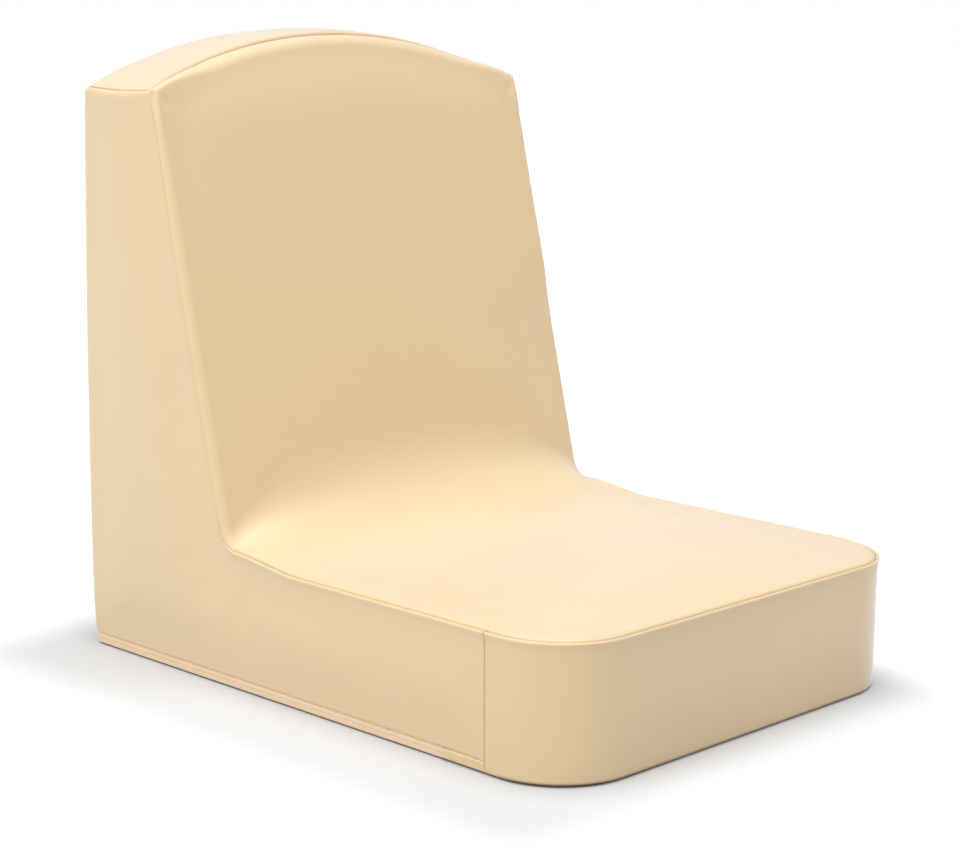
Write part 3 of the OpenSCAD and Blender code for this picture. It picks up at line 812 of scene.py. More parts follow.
# Each fold: from, to, half width, height. The right shoulder's are the left's, a little shorter.
shoulderFolds = [
    ((-167.2, 150.2, 386.5), (-167.6, 146.4, 367.5), 1.6, 1.2),
    ((-167.0, 147.0, 382.5), (-167.4, 143.6, 372.5), 1.1, -0.9),
    ((-165.0, 143.0, 383.5), (-166.2, 138.6, 360.5), 1.9, 1.3),
    ((-158.5, 143.2, 378.0), (-156.0, 142.2, 374.5), 2.8, -0.9),
    ((-160.5, 142.0, 373.5), (-163.0, 137.0, 351.5), 3.0, 0.35),
    ((-167.4, 198.0, 379.0), (-167.4, 168.0, 378.0), 4.5, 0.9),
]


def normalsOf(piece):
    flat = np.empty(len(piece.data.vertices) * 3, dtype=np.float32)
    piece.data.vertex_normals.foreach_get("vector", flat)
    return flat.reshape(-1, 3)


def placesOf(mesh):
    flat = np.empty(len(mesh.vertices) * 3, dtype=np.float32)
    mesh.vertices.foreach_get("co", flat)
    return flat.reshape(-1, 3).astype(float)


def movePoints(piece, places):
    piece.data.vertices.foreach_set("co", places.astype(np.float32).ravel())
    piece.data.update()


def evened(mesh, values, rounds):  # shares each point's rise with its neighbours
    ends = np.empty(len(mesh.edges) * 2, dtype=np.int32)
    mesh.edges.foreach_get("vertices", ends)
    a, b = ends[0::2], ends[1::2]
    count = np.bincount(ends, minlength=len(values))
    for _ in range(rounds):
        total = np.bincount(a, values[b], len(values)) + np.bincount(b, values[a], len(values))
        values = 0.5 * values + 0.5 * total / np.maximum(1, count)
    return values


def fillCover(piece, near):
    before, outward = placesOf(piece.data), normalsOf(piece)
    group = piece.vertex_groups.new(name="sewn")
    hold = 1 - smooth((near - softWork["heldTo"]) / softWork["heldFade"])
    for i in np.nonzero(hold > 0.01)[0]:
        group.add([int(i)], float(hold[i]), "REPLACE")
    cloth = piece.modifiers.new("filling", "CLOTH")
    settings = cloth.settings
    for key, value in softWork["cloth"].items():
        setattr(settings, key, value)
    settings.vertex_group_mass = "sewn"
    settings.effector_weights.gravity = 0
    cloth.collision_settings.use_collision = False
    cloth.point_cache.frame_start = 1
    cloth.point_cache.frame_end = softWork["frames"]
    for step in range(1, softWork["frames"] + 1):
        scene.frame_set(step)
        solved = piece.evaluated_get(bpy.context.evaluated_depsgraph_get())
    after = placesOf(solved.data)
    piece.modifiers.remove(cloth)
    piece.vertex_groups.remove(group)
    scene.frame_set(1)
    along = ((after - before) / mm * outward).sum(1)
    past = (before[:, 1:] / mm - softWork["creaseMiddle"]) / softWork["creaseReach"]
    inCrease = np.exp(-past[:, 0] ** 2 - past[:, 1] ** 2)
    most = mix(softWork["capOut"], softWork["capCrease"], np.minimum(1, 1.3 * inCrease))
    along = evened(piece.data, np.clip(along, -softWork["capIn"], most), softWork["evening"])
    movePoints(piece, before + along[:, None] * outward * mm)
    print("filled", piece.name, "by up to", round(float(along.max()), 2), "mm")


# Where the filling stands out on one side only: from, to, half width, height.
fullPlaces = [
    ((168.0, 149.0, 376.0), (168.0, 112.0, 255.0), 28.0, 2.0),
    ((168.5, 55.0, 90.0), (168.5, -165.0, 90.0), 9.0, 1.0),
]


def alongLine(p, a, b):  # how far along the line each point lies, and how far from it
    t = np.clip(((p - a) @ (b - a)) / ((b - a) @ (b - a)), 0, 1)
    return t, np.linalg.norm(p - a - t[:, None] * (b - a), axis=1)


def waveCover(piece, near, seed):
    places, outward = placesOf(piece.data), normalsOf(piece)
    p = places / mm
    free = 1 - np.exp(-(near / softWork["stillReach"]) ** 2)
    lift = softWork["waveHeight"] * ripple(p, softWork["waveSize"], seed)
    lift = lift * smooth(near / softWork["waveFrom"])
    small = ripple(p, softWork["seamWaveSize"], seed + 40)
    lift = lift + softWork["seamWaveHeight"] * small * np.exp(-near / softWork["seamWaveReach"])
    for start, end, width, height in shoulderFolds:
        for side, change in ((1, 1.0), (-1, softWork["rightShoulder"])):
            a, b = np.array(start), np.array(end) * change + np.array(start) * (1 - change)
            a, b = a * (side, 1, 1), b * (side, 1, 1)
            t, gap = alongLine(p, a, b)
            lift = lift + height * np.exp(-(gap / width) ** 2) * (1 - 0.5 * t)
    lift = lift * free
    for start, end, width, height in fullPlaces:
        t, gap = alongLine(p, np.array(start), np.array(end))
        lift = lift + height * np.exp(-(gap / width) ** 2)
    movePoints(piece, places + lift[:, None] * outward * mm)


coverPieces = [
    (frontPiece, frontNear, "front_cover_panel", 0.95),
    (leftPiece, leftNear, "left_side_panel", 0.95),
    (rightPiece, rightNear, "right_side_panel", 0.95),
    (bandPiece, bandNear, "front_band", 0.95),
    (gussetPiece, gussetNear, "top_gusset", 0.95),
    (rearPiece, rearNear, "rear_panel", 0.95),
]
for seed, (piece, near, _, _) in enumerate(coverPieces):
    fillCover(piece, near)
    waveCover(piece, near, softWork["firstSeed"] + seed)
print("covers filled and waved")

# Small leatherette patches over the zip's front ends.
zipPatch = {
    "rear": -123.5,
    "front": -160.2,
    "low": 1.25,
    "high": 8.3,
    "leftFace": 166.4,
    "rightFace": 163.9,
    "stand": 1.1,
    "edgeRound": 1.4,
    "lip": 0.5,
    "lipBelowTop": 1.5,
    "lipWidth": 0.9,
    "waveHeight": 0.22,
    "waveSize": 5.0,
    "waveFrom": 1.5,
    "swayHeight": 0.5,
    "swaySize": 14.0,
    "thickness": 0.7,
}


def patchMesh(name, side):
    low, high, rear = zipPatch["low"], zipPatch["high"], zipPatch["rear"]
    across = fromEdge(0.7, 3.0, 4)
    along = fromEdge(1.2, 9.0, 6)
    zs = [low + d for d in across] + [high - d for d in reversed(across)]
    ys = [zipPatch["front"] + d for d in along] + [rear - d for d in reversed(along)]
    z, y = np.meshgrid(np.array(zs), np.array(ys))
    edge = np.minimum(np.minimum(z - low, high - z), rear - y)
    full = np.clip(1 - edge / zipPatch["edgeRound"], 0, 1)
    rise = zipPatch["stand"] * np.sqrt(1 - full ** 2)
    lip = (z - high + zipPatch["lipBelowTop"]) / zipPatch["lipWidth"]
    rise = rise + zipPatch["lip"] * np.exp(-lip ** 2)
    points = np.stack([0 * y, y, z], -1)
    waves = zipPatch["waveHeight"] * ripple(points, zipPatch["waveSize"], 8.0 + side)
    rise = rise + waves * np.clip(edge / zipPatch["waveFrom"], 0, 1)
    sway = ripple(points * (0, 1, 0), zipPatch["swaySize"], 5.0 + side)
    z = z + zipPatch["swayHeight"] * sway
    face = zipPatch["leftFace"] if side < 0 else zipPatch["rightFace"]
    points = np.stack([side * (face + rise), y, z], -1)
    piece = sheetFrom(name, points, flip=side > 0)
    paintSeamShade(piece, edgeRows(points.shape, ["first", "last", "left", "right"], 0))
    return piece


patchPieces = [patchMesh("leftZipPatch", -1), patchMesh("rightZipPatch", 1)]

# The base panel: a sheet under the foam with rubber dots that grip the floor.
baseCover = {
    "leftInset": 4.0,
    "rightInset": 6.6,
    "frontInset": 3.6,
    "corner": 6.0,
    "thickness": 0.9,
    "edge": 0.15,
    "sidePoints": 110,
    "cornerPoints": 12,
    "rearPoints": 24,
    "dotHeight": 0.3,
    "dotRadius": 1.5,
    "dotPitch": 8.5,
    "dotMargin": 7.0,
    "dotRows": 30,
    "dotColumns": 24,
}


def baseHalf(own, inset, rearMiddle):  # from the front's middle round one side to the rear's
    r = baseCover["corner"]
    midX, midY = halfWidth - own - inset - r, form["rearLine"] - own - inset - r
    runs = np.linspace(0, runAt(midY), baseCover["sidePoints"])
    x, y, _, _ = planAt(runs, inset + mix(own, baseCover["frontInset"], frontShare(runs)))
    a = np.radians(np.linspace(0, 90, baseCover["cornerPoints"])[1:])
    t = np.linspace(0, 1, baseCover["rearPoints"])[1:]
    x = np.concatenate([x, midX + r * np.cos(a), mix(midX, 0, t)])
    y = np.concatenate([y, midY + r * np.sin(a), mix(midY + r, rearMiddle, t)])
    return np.stack([x, y], -1)


def baseOutline(inset):
    sides = (baseCover["leftInset"], baseCover["rightInset"])
    rearMiddle = form["rearLine"] - sum(sides) / 2 - inset
    left, right = [baseHalf(own, inset, rearMiddle) for own in sides]
    return np.concatenate([left[:0:-1] * (-1, 1), right[:-1]])


def baseMesh():
    low, high = baseCover["dotHeight"], baseCover["dotHeight"] + baseCover["thickness"]
    edge, rings = baseCover["edge"], []
    for extra, z in ((40.0, high), (2.0, high), (edge, high), (0.0, high - edge),
                     (0.0, low + edge), (edge, low), (2.0, low), (6.0, low), (40.0, low)):
        line = baseOutline(extra)
        rings.append(np.column_stack([line, np.full(len(line), z)]))
    flat = np.concatenate(rings)
    n = len(rings[0])
    faces = [(k * n + i, (k + 1) * n + i, (k + 1) * n + (i + 1) % n, k * n + (i + 1) % n)
             for k in range(len(rings) - 1) for i in range(n)]
    faces.append(tuple(range(n)))
    faces.append(tuple(reversed(range((len(rings) - 1) * n, len(rings) * n))))
    piece = meshFrom("basePanel", flat, faces)
    grown = bmesh.new()
    grown.from_mesh(piece.data)
    bmesh.ops.triangulate(grown, faces=[f for f in grown.faces if len(f.verts) > 4])
    bmesh.ops.recalc_face_normals(grown, faces=grown.faces)
    grown.to_mesh(piece.data)
    grown.free()
    return piece


basePiece = baseMesh()

# Foam blocks inside the cover: the frame's own forms with softened edges.
foamLook = {"colour": (244, 232, 196), "edge": 2.0}


def foamBlock(name, node):
    grown = bmesh.new()
    grown.from_mesh(nodes[node].data)
    bmesh.ops.remove_doubles(grown, verts=grown.verts, dist=0.00002)
    bmesh.ops.recalc_face_normals(grown, faces=grown.faces)
    mesh = bpy.data.meshes.new(name)
    grown.to_mesh(mesh)
    grown.free()
    return placed(name, mesh)


foamPieces = [foamBlock("seatFoamBlock", "seat_foam"), foamBlock("backFoamWedge", "back_foam")]
print("patches, base and foam made")


def addNode(tree, kind, **settings):  # a setting is an input's value or one of the node's own
    made = tree.nodes.new(kind)
    for key, value in settings.items():
        if key in made.inputs:
            made.inputs[key].default_value = value
        else:
            setattr(made, key, value)
    return made


def joinNodes(tree, joins):  # each join: a node and its output, a node and its input
    for start, output, end, into in joins:
        tree.links.new(start.outputs[output], end.inputs[into])


# Geometry Nodes: one small shape repeated along a path or on points.
def repeatTree(name, shape, material):
    tree = bpy.data.node_groups.new(name, "GeometryNodeTree")
    sockets = tree.interface
    sockets.new_socket("Geometry", in_out="INPUT", socket_type="NodeSocketGeometry")
    sizes = {"Pitch": 0.003, "Size": 0.001, "Thickness": 0.0003, "Stretch": 1.0}
    for label, value in sizes.items():
        made = sockets.new_socket(label, in_out="INPUT", socket_type="NodeSocketFloat")
        made.default_value = value
    sockets.new_socket("Geometry", in_out="OUTPUT", socket_type="NodeSocketGeometry")
    start, end = addNode(tree, "NodeGroupInput"), addNode(tree, "NodeGroupOutput")
    place = addNode(tree, "GeometryNodeInstanceOnPoints")
    if shape == "dot":
        joinNodes(tree, [(start, "Geometry", place, "Points")])
    else:
        curve = addNode(tree, "GeometryNodeMeshToCurve")
        spaced = addNode(tree, "GeometryNodeResampleCurve", mode="LENGTH")
        tangent = addNode(tree, "GeometryNodeInputTangent")
        aimed = addNode(tree, "FunctionNodeAlignEulerToVector", axis="Z")
        joinNodes(tree, [
            (start, "Geometry", curve, "Mesh"),
            (curve, "Curve", spaced, "Curve"),
            (start, "Pitch", spaced, "Length"),
            (spaced, "Curve", place, "Points"),
            (tangent, "Tangent", aimed, "Vector"),
            (aimed, "Rotation", place, "Rotation"),
        ])
    if shape == "loop":
        ring = addNode(tree, "GeometryNodeCurvePrimitiveCircle", Resolution=8)
        strand = addNode(tree, "GeometryNodeCurvePrimitiveCircle", Resolution=4)
        body = addNode(tree, "GeometryNodeCurveToMesh")
        joinNodes(tree, [
            (start, "Size", ring, "Radius"),
            (start, "Thickness", strand, "Radius"),
            (ring, "Curve", body, "Curve"),
            (strand, "Curve", body, "Profile Curve"),
        ])
    elif shape == "stitch":
        body = addNode(tree, "GeometryNodeMeshUVSphere", Segments=6, Rings=5)
        joinNodes(tree, [(start, "Thickness", body, "Radius")])
    else:
        body = addNode(tree, "GeometryNodeMeshCylinder", Vertices=10)
        joinNodes(tree, [(start, "Size", body, "Radius"), (start, "Thickness", body, "Depth")])
    scale = addNode(tree, "ShaderNodeCombineXYZ", X=1, Y=1)
    real = addNode(tree, "GeometryNodeRealizeInstances")
    finish = addNode(tree, "GeometryNodeSetMaterial", Material=material)
    joinNodes(tree, [
        (body, "Mesh", place, "Instance"),
        (start, "Stretch", scale, "Z"),
        (scale, "Vector", place, "Scale"),
        (place, "Instances", real, "Geometry"),
        (real, "Geometry", finish, "Geometry"),
        (finish, "Geometry", end, "Geometry"),
    ])
    return tree


def repeated(name, paths, shape, material, sizes):  # the finished row of shapes, as a plain mesh
    points, edges = [], []
    for path in paths:
        first = len(points)
        points += [tuple(v * mm for v in p) for p in path]
        edges += [(first + i, first + i + 1) for i in range(len(path) - 1)]
    mesh = bpy.data.meshes.new(name + "Path")
    mesh.from_pydata(points, edges if shape != "dot" else [], [])
    carrier = placed(name + "Path", mesh)
    tree = repeatTree(name + "Tree", shape, material)
    maker = carrier.modifiers.new("repeat", "NODES")
    maker.node_group = tree
    for item in tree.interface.items_tree:
        if item.in_out == "INPUT" and item.name in sizes:
            maker[item.identifier] = sizes[item.name]
    graph = bpy.context.evaluated_depsgraph_get()
    made = bpy.data.meshes.new_from_object(carrier.evaluated_get(graph))
    bpy.data.objects.remove(carrier)
    made.polygons.foreach_set("use_smooth", [True] * len(made.polygons))
    print(name, len(made.polygons), "faces")
    return placed(name, made)


# Materials
def newMaterial(name, colour, roughness, **inputs):
    made = bpy.data.materials.new(name)
    made.use_nodes = True
    tree = made.node_tree
    shader = tree.nodes["Principled BSDF"]
    shader.inputs["Base Color"].default_value = (*colour, 1)
    shader.inputs["Roughness"].default_value = roughness
    for key, value in inputs.items():
        shader.inputs[key].default_value = value
    return made, tree, shader


def toLinear(colour):
    return tuple(c / 12.92 if c <= 0.04045 else ((c + 0.055) / 1.055) ** 2.4
                 for c in (v / 255 for v in colour))


def tintNode(tree, base, dark, light):  # mixes a darker and a lighter shade of one colour
    tint = addNode(tree, "ShaderNodeMix", data_type="RGBA")
    tint.inputs[6].default_value = (*[c * dark for c in base], 1)
    tint.inputs[7].default_value = (*[min(1, c * light) for c in base], 1)
    return tint


leatherette = {
    "colour": (227, 200, 157),
    "grainSize": 900.0,
    "grainDepth": 0.06,
    "roughness": 0.45,
    "sheen": 1.0,
    "sheenRoughness": 0.42,
    # the darker colour painted as shade into the seams' grooves
    "seamShadeColour": (146, 106, 60),
    "tint": (0.975, 1.025),
}


def leatheretteMaterial(name, colour):
    base = toLinear(colour)
    made, tree, shader = newMaterial(name, base, leatherette["roughness"])
    shader.inputs["Sheen Weight"].default_value = leatherette["sheen"]
    shader.inputs["Sheen Roughness"].default_value = leatherette["sheenRoughness"]
    where = addNode(tree, "ShaderNodeTexCoord")
    cloud = addNode(tree, "ShaderNodeTexNoise", Scale=9.0, Detail=2.0)
    tint = tintNode(tree, base, *leatherette["tint"])
    grain = addNode(tree, "ShaderNodeTexVoronoi", Scale=leatherette["grainSize"])
    bump = addNode(tree, "ShaderNodeBump", Strength=leatherette["grainDepth"], Distance=0.0003)
    # Painted shade: the points' "seam" value mixes the darker colour into the seams' grooves.
    seam = addNode(tree, "ShaderNodeAttribute", attribute_name="seam")
    shade = addNode(tree, "ShaderNodeMix", data_type="RGBA")
    shade.inputs[7].default_value = (*toLinear(leatherette["seamShadeColour"]), 1)
    joinNodes(tree, [
        (where, "Object", cloud, "Vector"),
        (where, "Object", grain, "Vector"),
        (cloud, "Fac", tint, 0),
        (seam, "Fac", shade, 0),
        (tint, 2, shade, 6),
        (shade, 2, shader, "Base Color"),
        (grain, "Distance", bump, "Height"),
        (bump, "Normal", shader, "Normal"),
    ])
    return made


def finishOf(name, colour, roughness, pattern, **inputs):  # a material with its own small pattern
    base, size = toLinear(colour), pattern["size"]
    made, tree, shader = newMaterial(name, base, roughness, **inputs)
    where = addNode(tree, "ShaderNodeTexCoord")
    soft = addNode(tree, "ShaderNodeTexNoise", Scale=pattern["cloud"], Detail=2.0)
    tint = tintNode(tree, base, *pattern["tint"])
    if pattern["kind"] == "weave":  # ribs along the tape, picks across it
        ribs = addNode(tree, "ShaderNodeTexWave", Scale=size, Distortion=0.0, bands_direction="Z")
        picks = addNode(tree, "ShaderNodeTexWave", Scale=size * 1.3, Distortion=0.3,
                        bands_direction="DIAGONAL")
        fine = addNode(tree, "ShaderNodeMath", operation="MULTIPLY")
        joinNodes(tree, [(where, "Object", ribs, "Vector"), (where, "Object", picks, "Vector"),
                         (ribs, "Fac", fine, 0), (picks, "Fac", fine, 1)])
        source, height = fine, 0
    elif pattern["kind"] == "cells":
        source, height = addNode(tree, "ShaderNodeTexVoronoi", Scale=size), "Distance"
        joinNodes(tree, [(where, "Object", source, "Vector")])
    else:  # fine marks from rubbing
        source = addNode(tree, "ShaderNodeTexNoise", Scale=size, Detail=4.0, Roughness=0.7)
        height = "Fac"
        joinNodes(tree, [(where, "Object", source, "Vector")])
    both = addNode(tree, "ShaderNodeMath", operation="MULTIPLY_ADD")
    both.inputs[1].default_value = 0.6
    reach = addNode(tree, "ShaderNodeMapRange")
    reach.inputs["From Max"].default_value = 1.6
    bump = addNode(tree, "ShaderNodeBump", Strength=pattern["depth"], Distance=pattern["lift"])
    joinNodes(tree, [
        (where, "Object", soft, "Vector"),
        (source, height, both, 0),
        (soft, "Fac", both, 2),
        (both, 0, reach, "Value"),
        (reach, "Result", tint, 0),
        (tint, 2, shader, "Base Color"),
        (source, height, bump, "Height"),
        (bump, "Normal", shader, "Normal"),
    ])
    return made


coverMaterial = leatheretteMaterial("creamLeatherette", leatherette["colour"])
patchMaterial = leatheretteMaterial("patchLeatherette", (233, 205, 152))
tapeMaterial = finishOf("wovenZipTape", (250, 220, 186), 0.75, {
    "kind": "weave", "size": 620.0, "cloud": 60.0, "tint": (0.9, 1.08),
    "depth": 0.5, "lift": 0.0002})
threadMaterial = finishOf("sewingThread", (240, 214, 176), 0.6, {
    "kind": "rub", "size": 3000.0, "cloud": 200.0, "tint": (0.9, 1.05),
    "depth": 0.3, "lift": 0.0001})
coilMaterial = finishOf("nylonCoil", (232, 190, 150), 0.35, {
    "kind": "rub", "size": 1500.0, "cloud": 90.0, "tint": (0.93, 1.05),
    "depth": 0.2, "lift": 0.00005})
# Dark grey-brown base fabric; its edge, seen along the foot, also stands in as painted contact
# shadow under the walls.
baseMaterial = finishOf("baseFabric", (88, 82, 76), 0.85, {
    "kind": "weave", "size": 420.0, "cloud": 30.0, "tint": (0.7, 1.35),
    "depth": 0.6, "lift": 0.0003})
gripMaterial = finishOf("gripRubber", (38, 38, 40), 0.6, {
    "kind": "rub", "size": 900.0, "cloud": 50.0, "tint": (0.8, 1.3),
    "depth": 0.2, "lift": 0.0001})
foamMaterial = finishOf("openCellFoam", foamLook["colour"], 0.95, {
    "kind": "cells", "size": 1100.0, "cloud": 20.0, "tint": (0.9, 1.05),
    "depth": 0.7, "lift": 0.0006})
metalMaterial = finishOf("nickelledZinc", (196, 192, 186), 0.28, {
    "kind": "rub", "size": 420.0, "cloud": 160.0, "tint": (0.86, 1.08),
    "depth": 0.12, "lift": 0.0001}, Metallic=1.0)

for node in ("zip_slider", "zip_pull", "zip_top_stops", "zip_bottom_stop"):
    for holder in nodes[node].material_slots:
        holder.material = metalMaterial

# The zip: two woven tapes round three sides, their stitches and the coil's loops.
zipWork = {
    "leftFace": 166.3,
    "rightFace": 163.6,
    "rearLeft": 221.5,
    "rearRight": 219.6,
    "corner": 4.6,
    "tapeThickness": 0.4,
    "tapeEnds": (-150.0, -149.0),
    "swayHeight": 0.18,
    "swaySize": 12.0,
    "stitchEnds": (-122.0, -110.0),
    "stitchHeights": (2.2, 7.1),
    "stitchDepths": (-0.05, 0.22),
    "coilDepth": 1.1,
    "coilEnds": (-146.2, -118.9),
    "coilHeights": {"lowerCoilLoops": 3.85, "upperCoilLoops": 5.68},
    "stitchPitch": 0.0030,
    "stitchLength": 5.0,
    "threadRadius": 0.00024,
    "coilPitch": 0.0017,
    "coilRadius": 0.00062,
    "coilWire": 0.00022,
}
# Each tape across its width: depth behind its face, and height. The upper one has a folded lip.
tapeProfiles = {
    "lowerZipTape": [(1.6, 1.28), (0.5, 1.25), (0.12, 1.5), (0.0, 2.2), (0.0, 3.6), (0.1, 4.3),
                     (0.4, 4.65), (1.0, 4.72)],
    "upperZipTape": [(1.0, 4.88), (0.3, 4.9), (-0.15, 5.1), (-0.35, 5.5), (-0.12, 6.0), (0.0, 6.8),
                     (0.25, 7.5), (0.9, 7.9)],
}


def zipPath(depth, z, frontLeft, frontRight, rightDepth=None, count=40):
    # back along the left side, across the rear and forward along the right side
    rightDepth = depth if rightDepth is None else rightDepth
    left, right = zipWork["leftFace"] - depth, zipWork["rightFace"] - rightDepth
    rearLeft, rearRight = zipWork["rearLeft"] - depth, zipWork["rearRight"] - rightDepth
    r = zipWork["corner"] - max(0, depth)
    turns = [math.pi / 2 * k / 6 for k in range(7)]
    points = [(-left, y, z) for y in np.linspace(frontLeft, rearLeft - r, count)[:-1]]
    points += [(-left + r * (1 - math.cos(a)), rearLeft - r + r * math.sin(a), z) for a in turns]
    points += [(mix(-left + r, right - r, t), mix(rearLeft, rearRight, t), z)
               for t in np.linspace(0, 1, 26)[1:-1]]
    points += [(right - r * (1 - math.cos(a)), rearRight - r + r * math.sin(a), z)
               for a in reversed(turns)]
    return points + [(right, y, z) for y in np.linspace(rearRight - r, frontRight, count)[1:]]


def tapeMesh(name):  # flat on the right side, where the slider runs
    grid = np.array([zipPath(depth, z, *zipWork["tapeEnds"], 0.0)
                     for depth, z in tapeProfiles[name]])
    sway = zipWork["swayHeight"] * ripple(grid * (1, 1, 0), zipWork["swaySize"], 3.0)
    soft = sway * (grid[..., 0] < 155)
    centre = grid.mean(1, keepdims=True)
    grid = grid + soft[..., None] * (grid - centre) * (1, 1, 0) / 200.0
    return sheetFrom(name, grid)


tapePieces = [tapeMesh(name) for name in tapeProfiles]
outer, inner = zipWork["stitchDepths"]
stitchPaths = [zipPath(outer, z, *zipWork["stitchEnds"], inner) for z in zipWork["stitchHeights"]]
tapeStitches = repeated("tapeStitches", stitchPaths, "stitch", threadMaterial, {
    "Pitch": zipWork["stitchPitch"], "Thickness": zipWork["threadRadius"],
    "Stretch": zipWork["stitchLength"]})
coilPieces = []
for name, z in zipWork["coilHeights"].items():
    path = zipPath(zipWork["coilDepth"], z, *zipWork["coilEnds"])
    coilPieces.append(repeated(name, [path], "loop", coilMaterial, {
        "Pitch": zipWork["coilPitch"], "Size": zipWork["coilRadius"],
        "Thickness": zipWork["coilWire"]}))


def isInside(x, y, outline):  # counts how often a line from the point crosses the outline
    inside = False
    for (x1, y1), (x2, y2) in zip(outline, np.roll(outline, -1, 0)):
        if (y1 > y) != (y2 > y) and x < (x2 - x1) * (y - y1) / (y2 - y1) + x1:
            inside = not inside
    return inside


def dotPlaces():  # a triangular pattern inside the base's edge
    edge, pitch = baseOutline(baseCover["dotMargin"]), baseCover["dotPitch"]
    rows, steps = baseCover["dotRows"], baseCover["dotColumns"]
    z = baseCover["dotHeight"] / 2 + 0.02
    places = [((step + 0.5 * (row % 2)) * pitch, row * pitch * 0.866, z)
              for row in range(-rows, rows + 1) for step in range(-steps, steps + 1)]
    return [place for place in places if isInside(*place[:2], edge)]


gripDots = repeated("gripDots", [dotPlaces()], "dot", gripMaterial, {
    "Size": baseCover["dotRadius"] * mm, "Thickness": baseCover["dotHeight"] * mm})

extraPieces = [
    (patchPieces[0], patchMaterial, ["left_zip_end_patch"], "patch"),
    (patchPieces[1], patchMaterial, ["right_zip_end_patch"], "patch"),
    (basePiece, baseMaterial, ["base_panel"], "base_fabric"),
    (gripDots, None, [], "base_fabric"),
    (foamPieces[0], foamMaterial, ["seat_foam"], "foam"),
    (foamPieces[1], foamMaterial, ["back_foam"], "foam"),
    (tapePieces[0], tapeMaterial, ["lower_zip_tape"], "tape"),
    (tapePieces[1], tapeMaterial, ["upper_zip_tape"], "tape"),
    (tapeStitches, None, [], "tape"),
    (coilPieces[0], None, ["lower_zip_coil"], "coil"),
    (coilPieces[1], None, ["upper_zip_coil"], "coil"),
]
for piece, material, stands, slot in extraPieces:
    if material:
        piece.data.materials.clear()
        piece.data.materials.append(material)
    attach(piece, "seat")
    if stands:
        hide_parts(*stands)
for piece in foamPieces:
    softened = piece.modifiers.new("softEdges", "BEVEL")
    softened.width = foamLook["edge"] * mm
    softened.segments = 2
    softened.limit_method = "ANGLE"
    softened.angle_limit = math.radians(50)


def thicken(piece, amount):  # gives a sheet its own thickness, inwards from its face
    shell = piece.modifiers.new("thickness", "SOLIDIFY")
    shell.thickness = amount * mm
    shell.offset = -1


for piece in patchPieces:
    thicken(piece, zipPatch["thickness"])
for piece in tapePieces:
    thicken(piece, zipWork["tapeThickness"])
print("zip, stitches, coils and dots finished")

for piece, _, node, fill in coverPieces:
    thicken(piece, form["coverThickness"])
    piece.data.materials.append(coverMaterial)
    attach(piece, "seat")
    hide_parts(node)

# Floor, light and camera
stageLook = {
    "worldStrength": 0.4,
    "lamps": {
        "topSoftbox": {"place": (-0.25, -0.25, 3.6), "target": (0, 0, 0.1),
                       "size": 2.3, "power": 108.0},
        "leftSoftbox": {"place": (-2.2, 0.3, 0.95), "target": (0, 0, 0.2),
                        "size": 1.6, "power": 18.2},
        "frontFill": {"place": (-0.9, -2.3, 1.0), "target": (0, 0, 0.2),
                      "size": 1.6, "power": 7.0},
    },
    "floorSize": 14,
    "floorColour": (0.6, 0.61, 0.625),
    # the glow's low near the object is a painted shadow round its foot
    "nearGlow": 0.08,
    "floorGlow": 0.7,
    "shadowReach": 0.12,
    "shadowShift": (-0.04, 0, 0),
    "farGlow": 0.9,
    "farReach": 1.5,
}


def seenRays(tree):  # 1 for what the camera, a gloss or a glass sees straight
    path = addNode(tree, "ShaderNodeLightPath")
    first = addNode(tree, "ShaderNodeMath", operation="MAXIMUM")
    second = addNode(tree, "ShaderNodeMath", operation="MAXIMUM")
    joinNodes(tree, [
        (path, "Is Camera Ray", first, 0),
        (path, "Is Glossy Ray", first, 1),
        (first, 0, second, 0),
        (path, "Is Transmission Ray", second, 1),
    ])
    return second


def vectorMath(tree, operation, other=None):  # with its second value, where it has one
    made = addNode(tree, "ShaderNodeVectorMath", operation=operation)
    if other:
        made.inputs[1].default_value = other
    return made
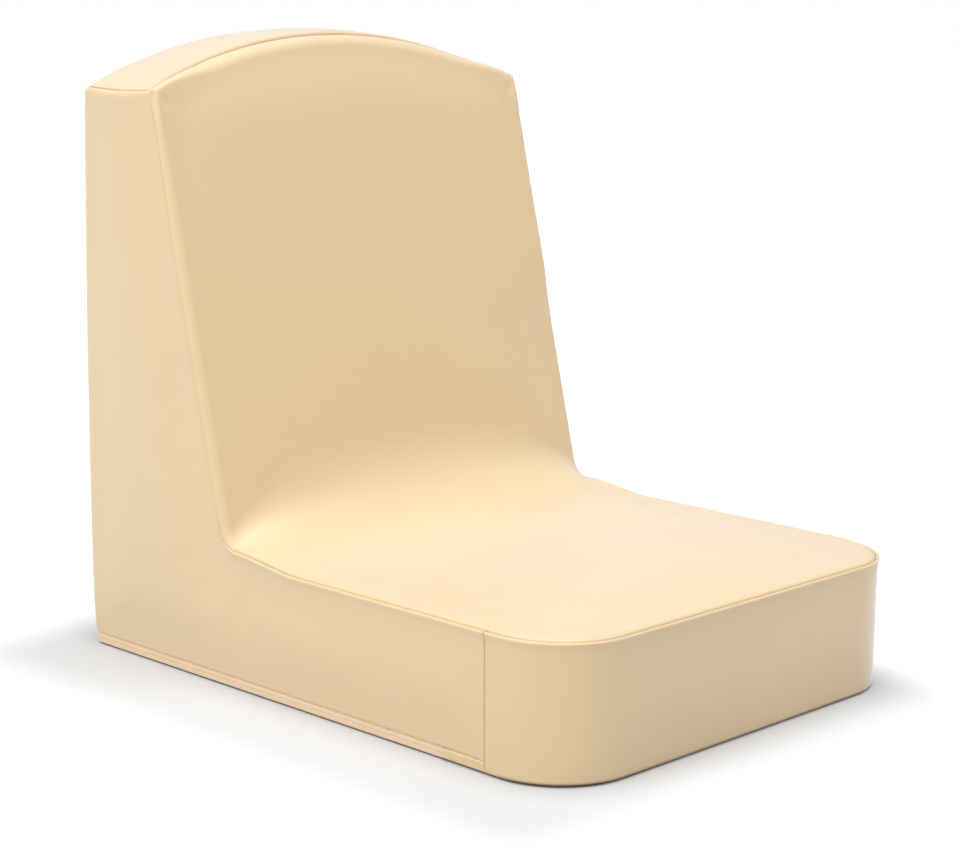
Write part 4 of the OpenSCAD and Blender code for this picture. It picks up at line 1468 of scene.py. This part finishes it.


# The floor's glow, seen by camera and gloss rays, is weaker near the object and more so on its
# left: a painted shadow round its foot, on top of the shadow the lamps cast.
def makeFloor():  # darker near the object, as its soft shadow is, and white further out
    bpy.ops.mesh.primitive_plane_add(size=stageLook["floorSize"], location=(0, 0, 0))
    floor = bpy.context.active_object
    floor.name = "studioFloor"
    made, tree, shader = newMaterial("floorWhite", stageLook["floorColour"], 0.9)
    shader.inputs["Specular IOR Level"].default_value = 0.0
    where = addNode(tree, "ShaderNodeTexCoord")
    shifted = vectorMath(tree, "SUBTRACT", stageLook["shadowShift"])
    folded = vectorMath(tree, "ABSOLUTE")
    beside = vectorMath(tree, "SUBTRACT", (halfWidth * mm, form["rearLine"] * mm, 0))
    outside = vectorMath(tree, "MAXIMUM")
    length = vectorMath(tree, "LENGTH")
    level = addNode(tree, "ShaderNodeMapRange", interpolation_type="SMOOTHSTEP")
    level.inputs["From Max"].default_value = stageLook["shadowReach"]
    level.inputs["To Min"].default_value = stageLook["nearGlow"]
    level.inputs["To Max"].default_value = stageLook["floorGlow"]
    farLevel = addNode(tree, "ShaderNodeMapRange")
    farLevel.inputs["From Min"].default_value = stageLook["shadowReach"]
    farLevel.inputs["From Max"].default_value = stageLook["farReach"]
    farLevel.inputs["To Max"].default_value = stageLook["farGlow"]
    both = addNode(tree, "ShaderNodeMath", operation="ADD")
    strength = addNode(tree, "ShaderNodeMath", operation="MULTIPLY")
    glow = addNode(tree, "ShaderNodeEmission")
    total = addNode(tree, "ShaderNodeAddShader")
    joinNodes(tree, [
        (where, "Object", shifted, 0),
        (shifted, 0, folded, 0),
        (folded, 0, beside, 0),
        (beside, 0, outside, 0),
        (outside, 0, length, 0),
        (length, "Value", level, "Value"),
        (length, "Value", farLevel, "Value"),
        (level, "Result", both, 0),
        (farLevel, "Result", both, 1),
        (both, 0, strength, 0),
        (seenRays(tree), 0, strength, 1),
        (strength, 0, glow, "Strength"),
        (shader, 0, total, 0),
        (glow, 0, total, 1),
        (total, 0, tree.nodes["Material Output"], "Surface"),
    ])
    floor.data.materials.append(made)


def makeWorld():
    world = bpy.data.worlds.new("studioWorld")
    scene.world = world
    world.use_nodes = True
    tree = world.node_tree
    back = tree.nodes["Background"]
    level = addNode(tree, "ShaderNodeMapRange")
    level.inputs["To Min"].default_value = stageLook["worldStrength"]
    level.inputs["To Max"].default_value = 1.0
    joinNodes(tree, [(seenRays(tree), 0, level, "Value"), (level, "Result", back, "Strength")])
    back.inputs["Color"].default_value = (1, 1, 1, 1)


def makeLamp(name, place, target, size, power):
    lamp = bpy.data.lights.new(name, "AREA")
    lamp.shape = "SQUARE"
    lamp.size = size
    lamp.energy = power
    holder = placed(name, lamp)
    holder.location = place
    holder.rotation_euler = (Vector(place) - Vector(target)).to_track_quat("Z", "Y").to_euler()


def makeCamera():
    cameraFit = {
        "place": (-1.0987, -1.0726, 0.4628),
        "azimuth": math.radians(-46.12),
        "elevation": math.radians(11.04),
        "roll": math.radians(0.66),
        "lens": 87.39,
        "shift": (-0.0308, 0.0013),
    }
    a, e, r = cameraFit["azimuth"], cameraFit["elevation"], cameraFit["roll"]
    back = Vector((math.sin(a) * math.cos(e), -math.cos(a) * math.cos(e), math.sin(e)))
    right = Vector((math.cos(a), math.sin(a), 0))
    up = back.cross(right)
    turnedRight = right * math.cos(r) + up * math.sin(r)
    turnedUp = up * math.cos(r) - right * math.sin(r)
    camera = bpy.data.cameras.new("photoCamera")
    camera.lens = cameraFit["lens"]
    camera.sensor_width = 36
    camera.sensor_fit = "HORIZONTAL"
    camera.shift_x, camera.shift_y = cameraFit["shift"]
    camera.clip_start = 0.01
    holder = placed("photoCamera", camera)
    turned = Matrix((turnedRight, turnedUp, back)).transposed().to_4x4()
    holder.matrix_world = Matrix.Translation(cameraFit["place"]) @ turned
    scene.camera = holder


makeFloor()
makeWorld()
for name, lamp in stageLook["lamps"].items():
    makeLamp(name, **lamp)
makeCamera()
scene.view_settings.view_transform = "Standard"
print("floor, lights and camera set")
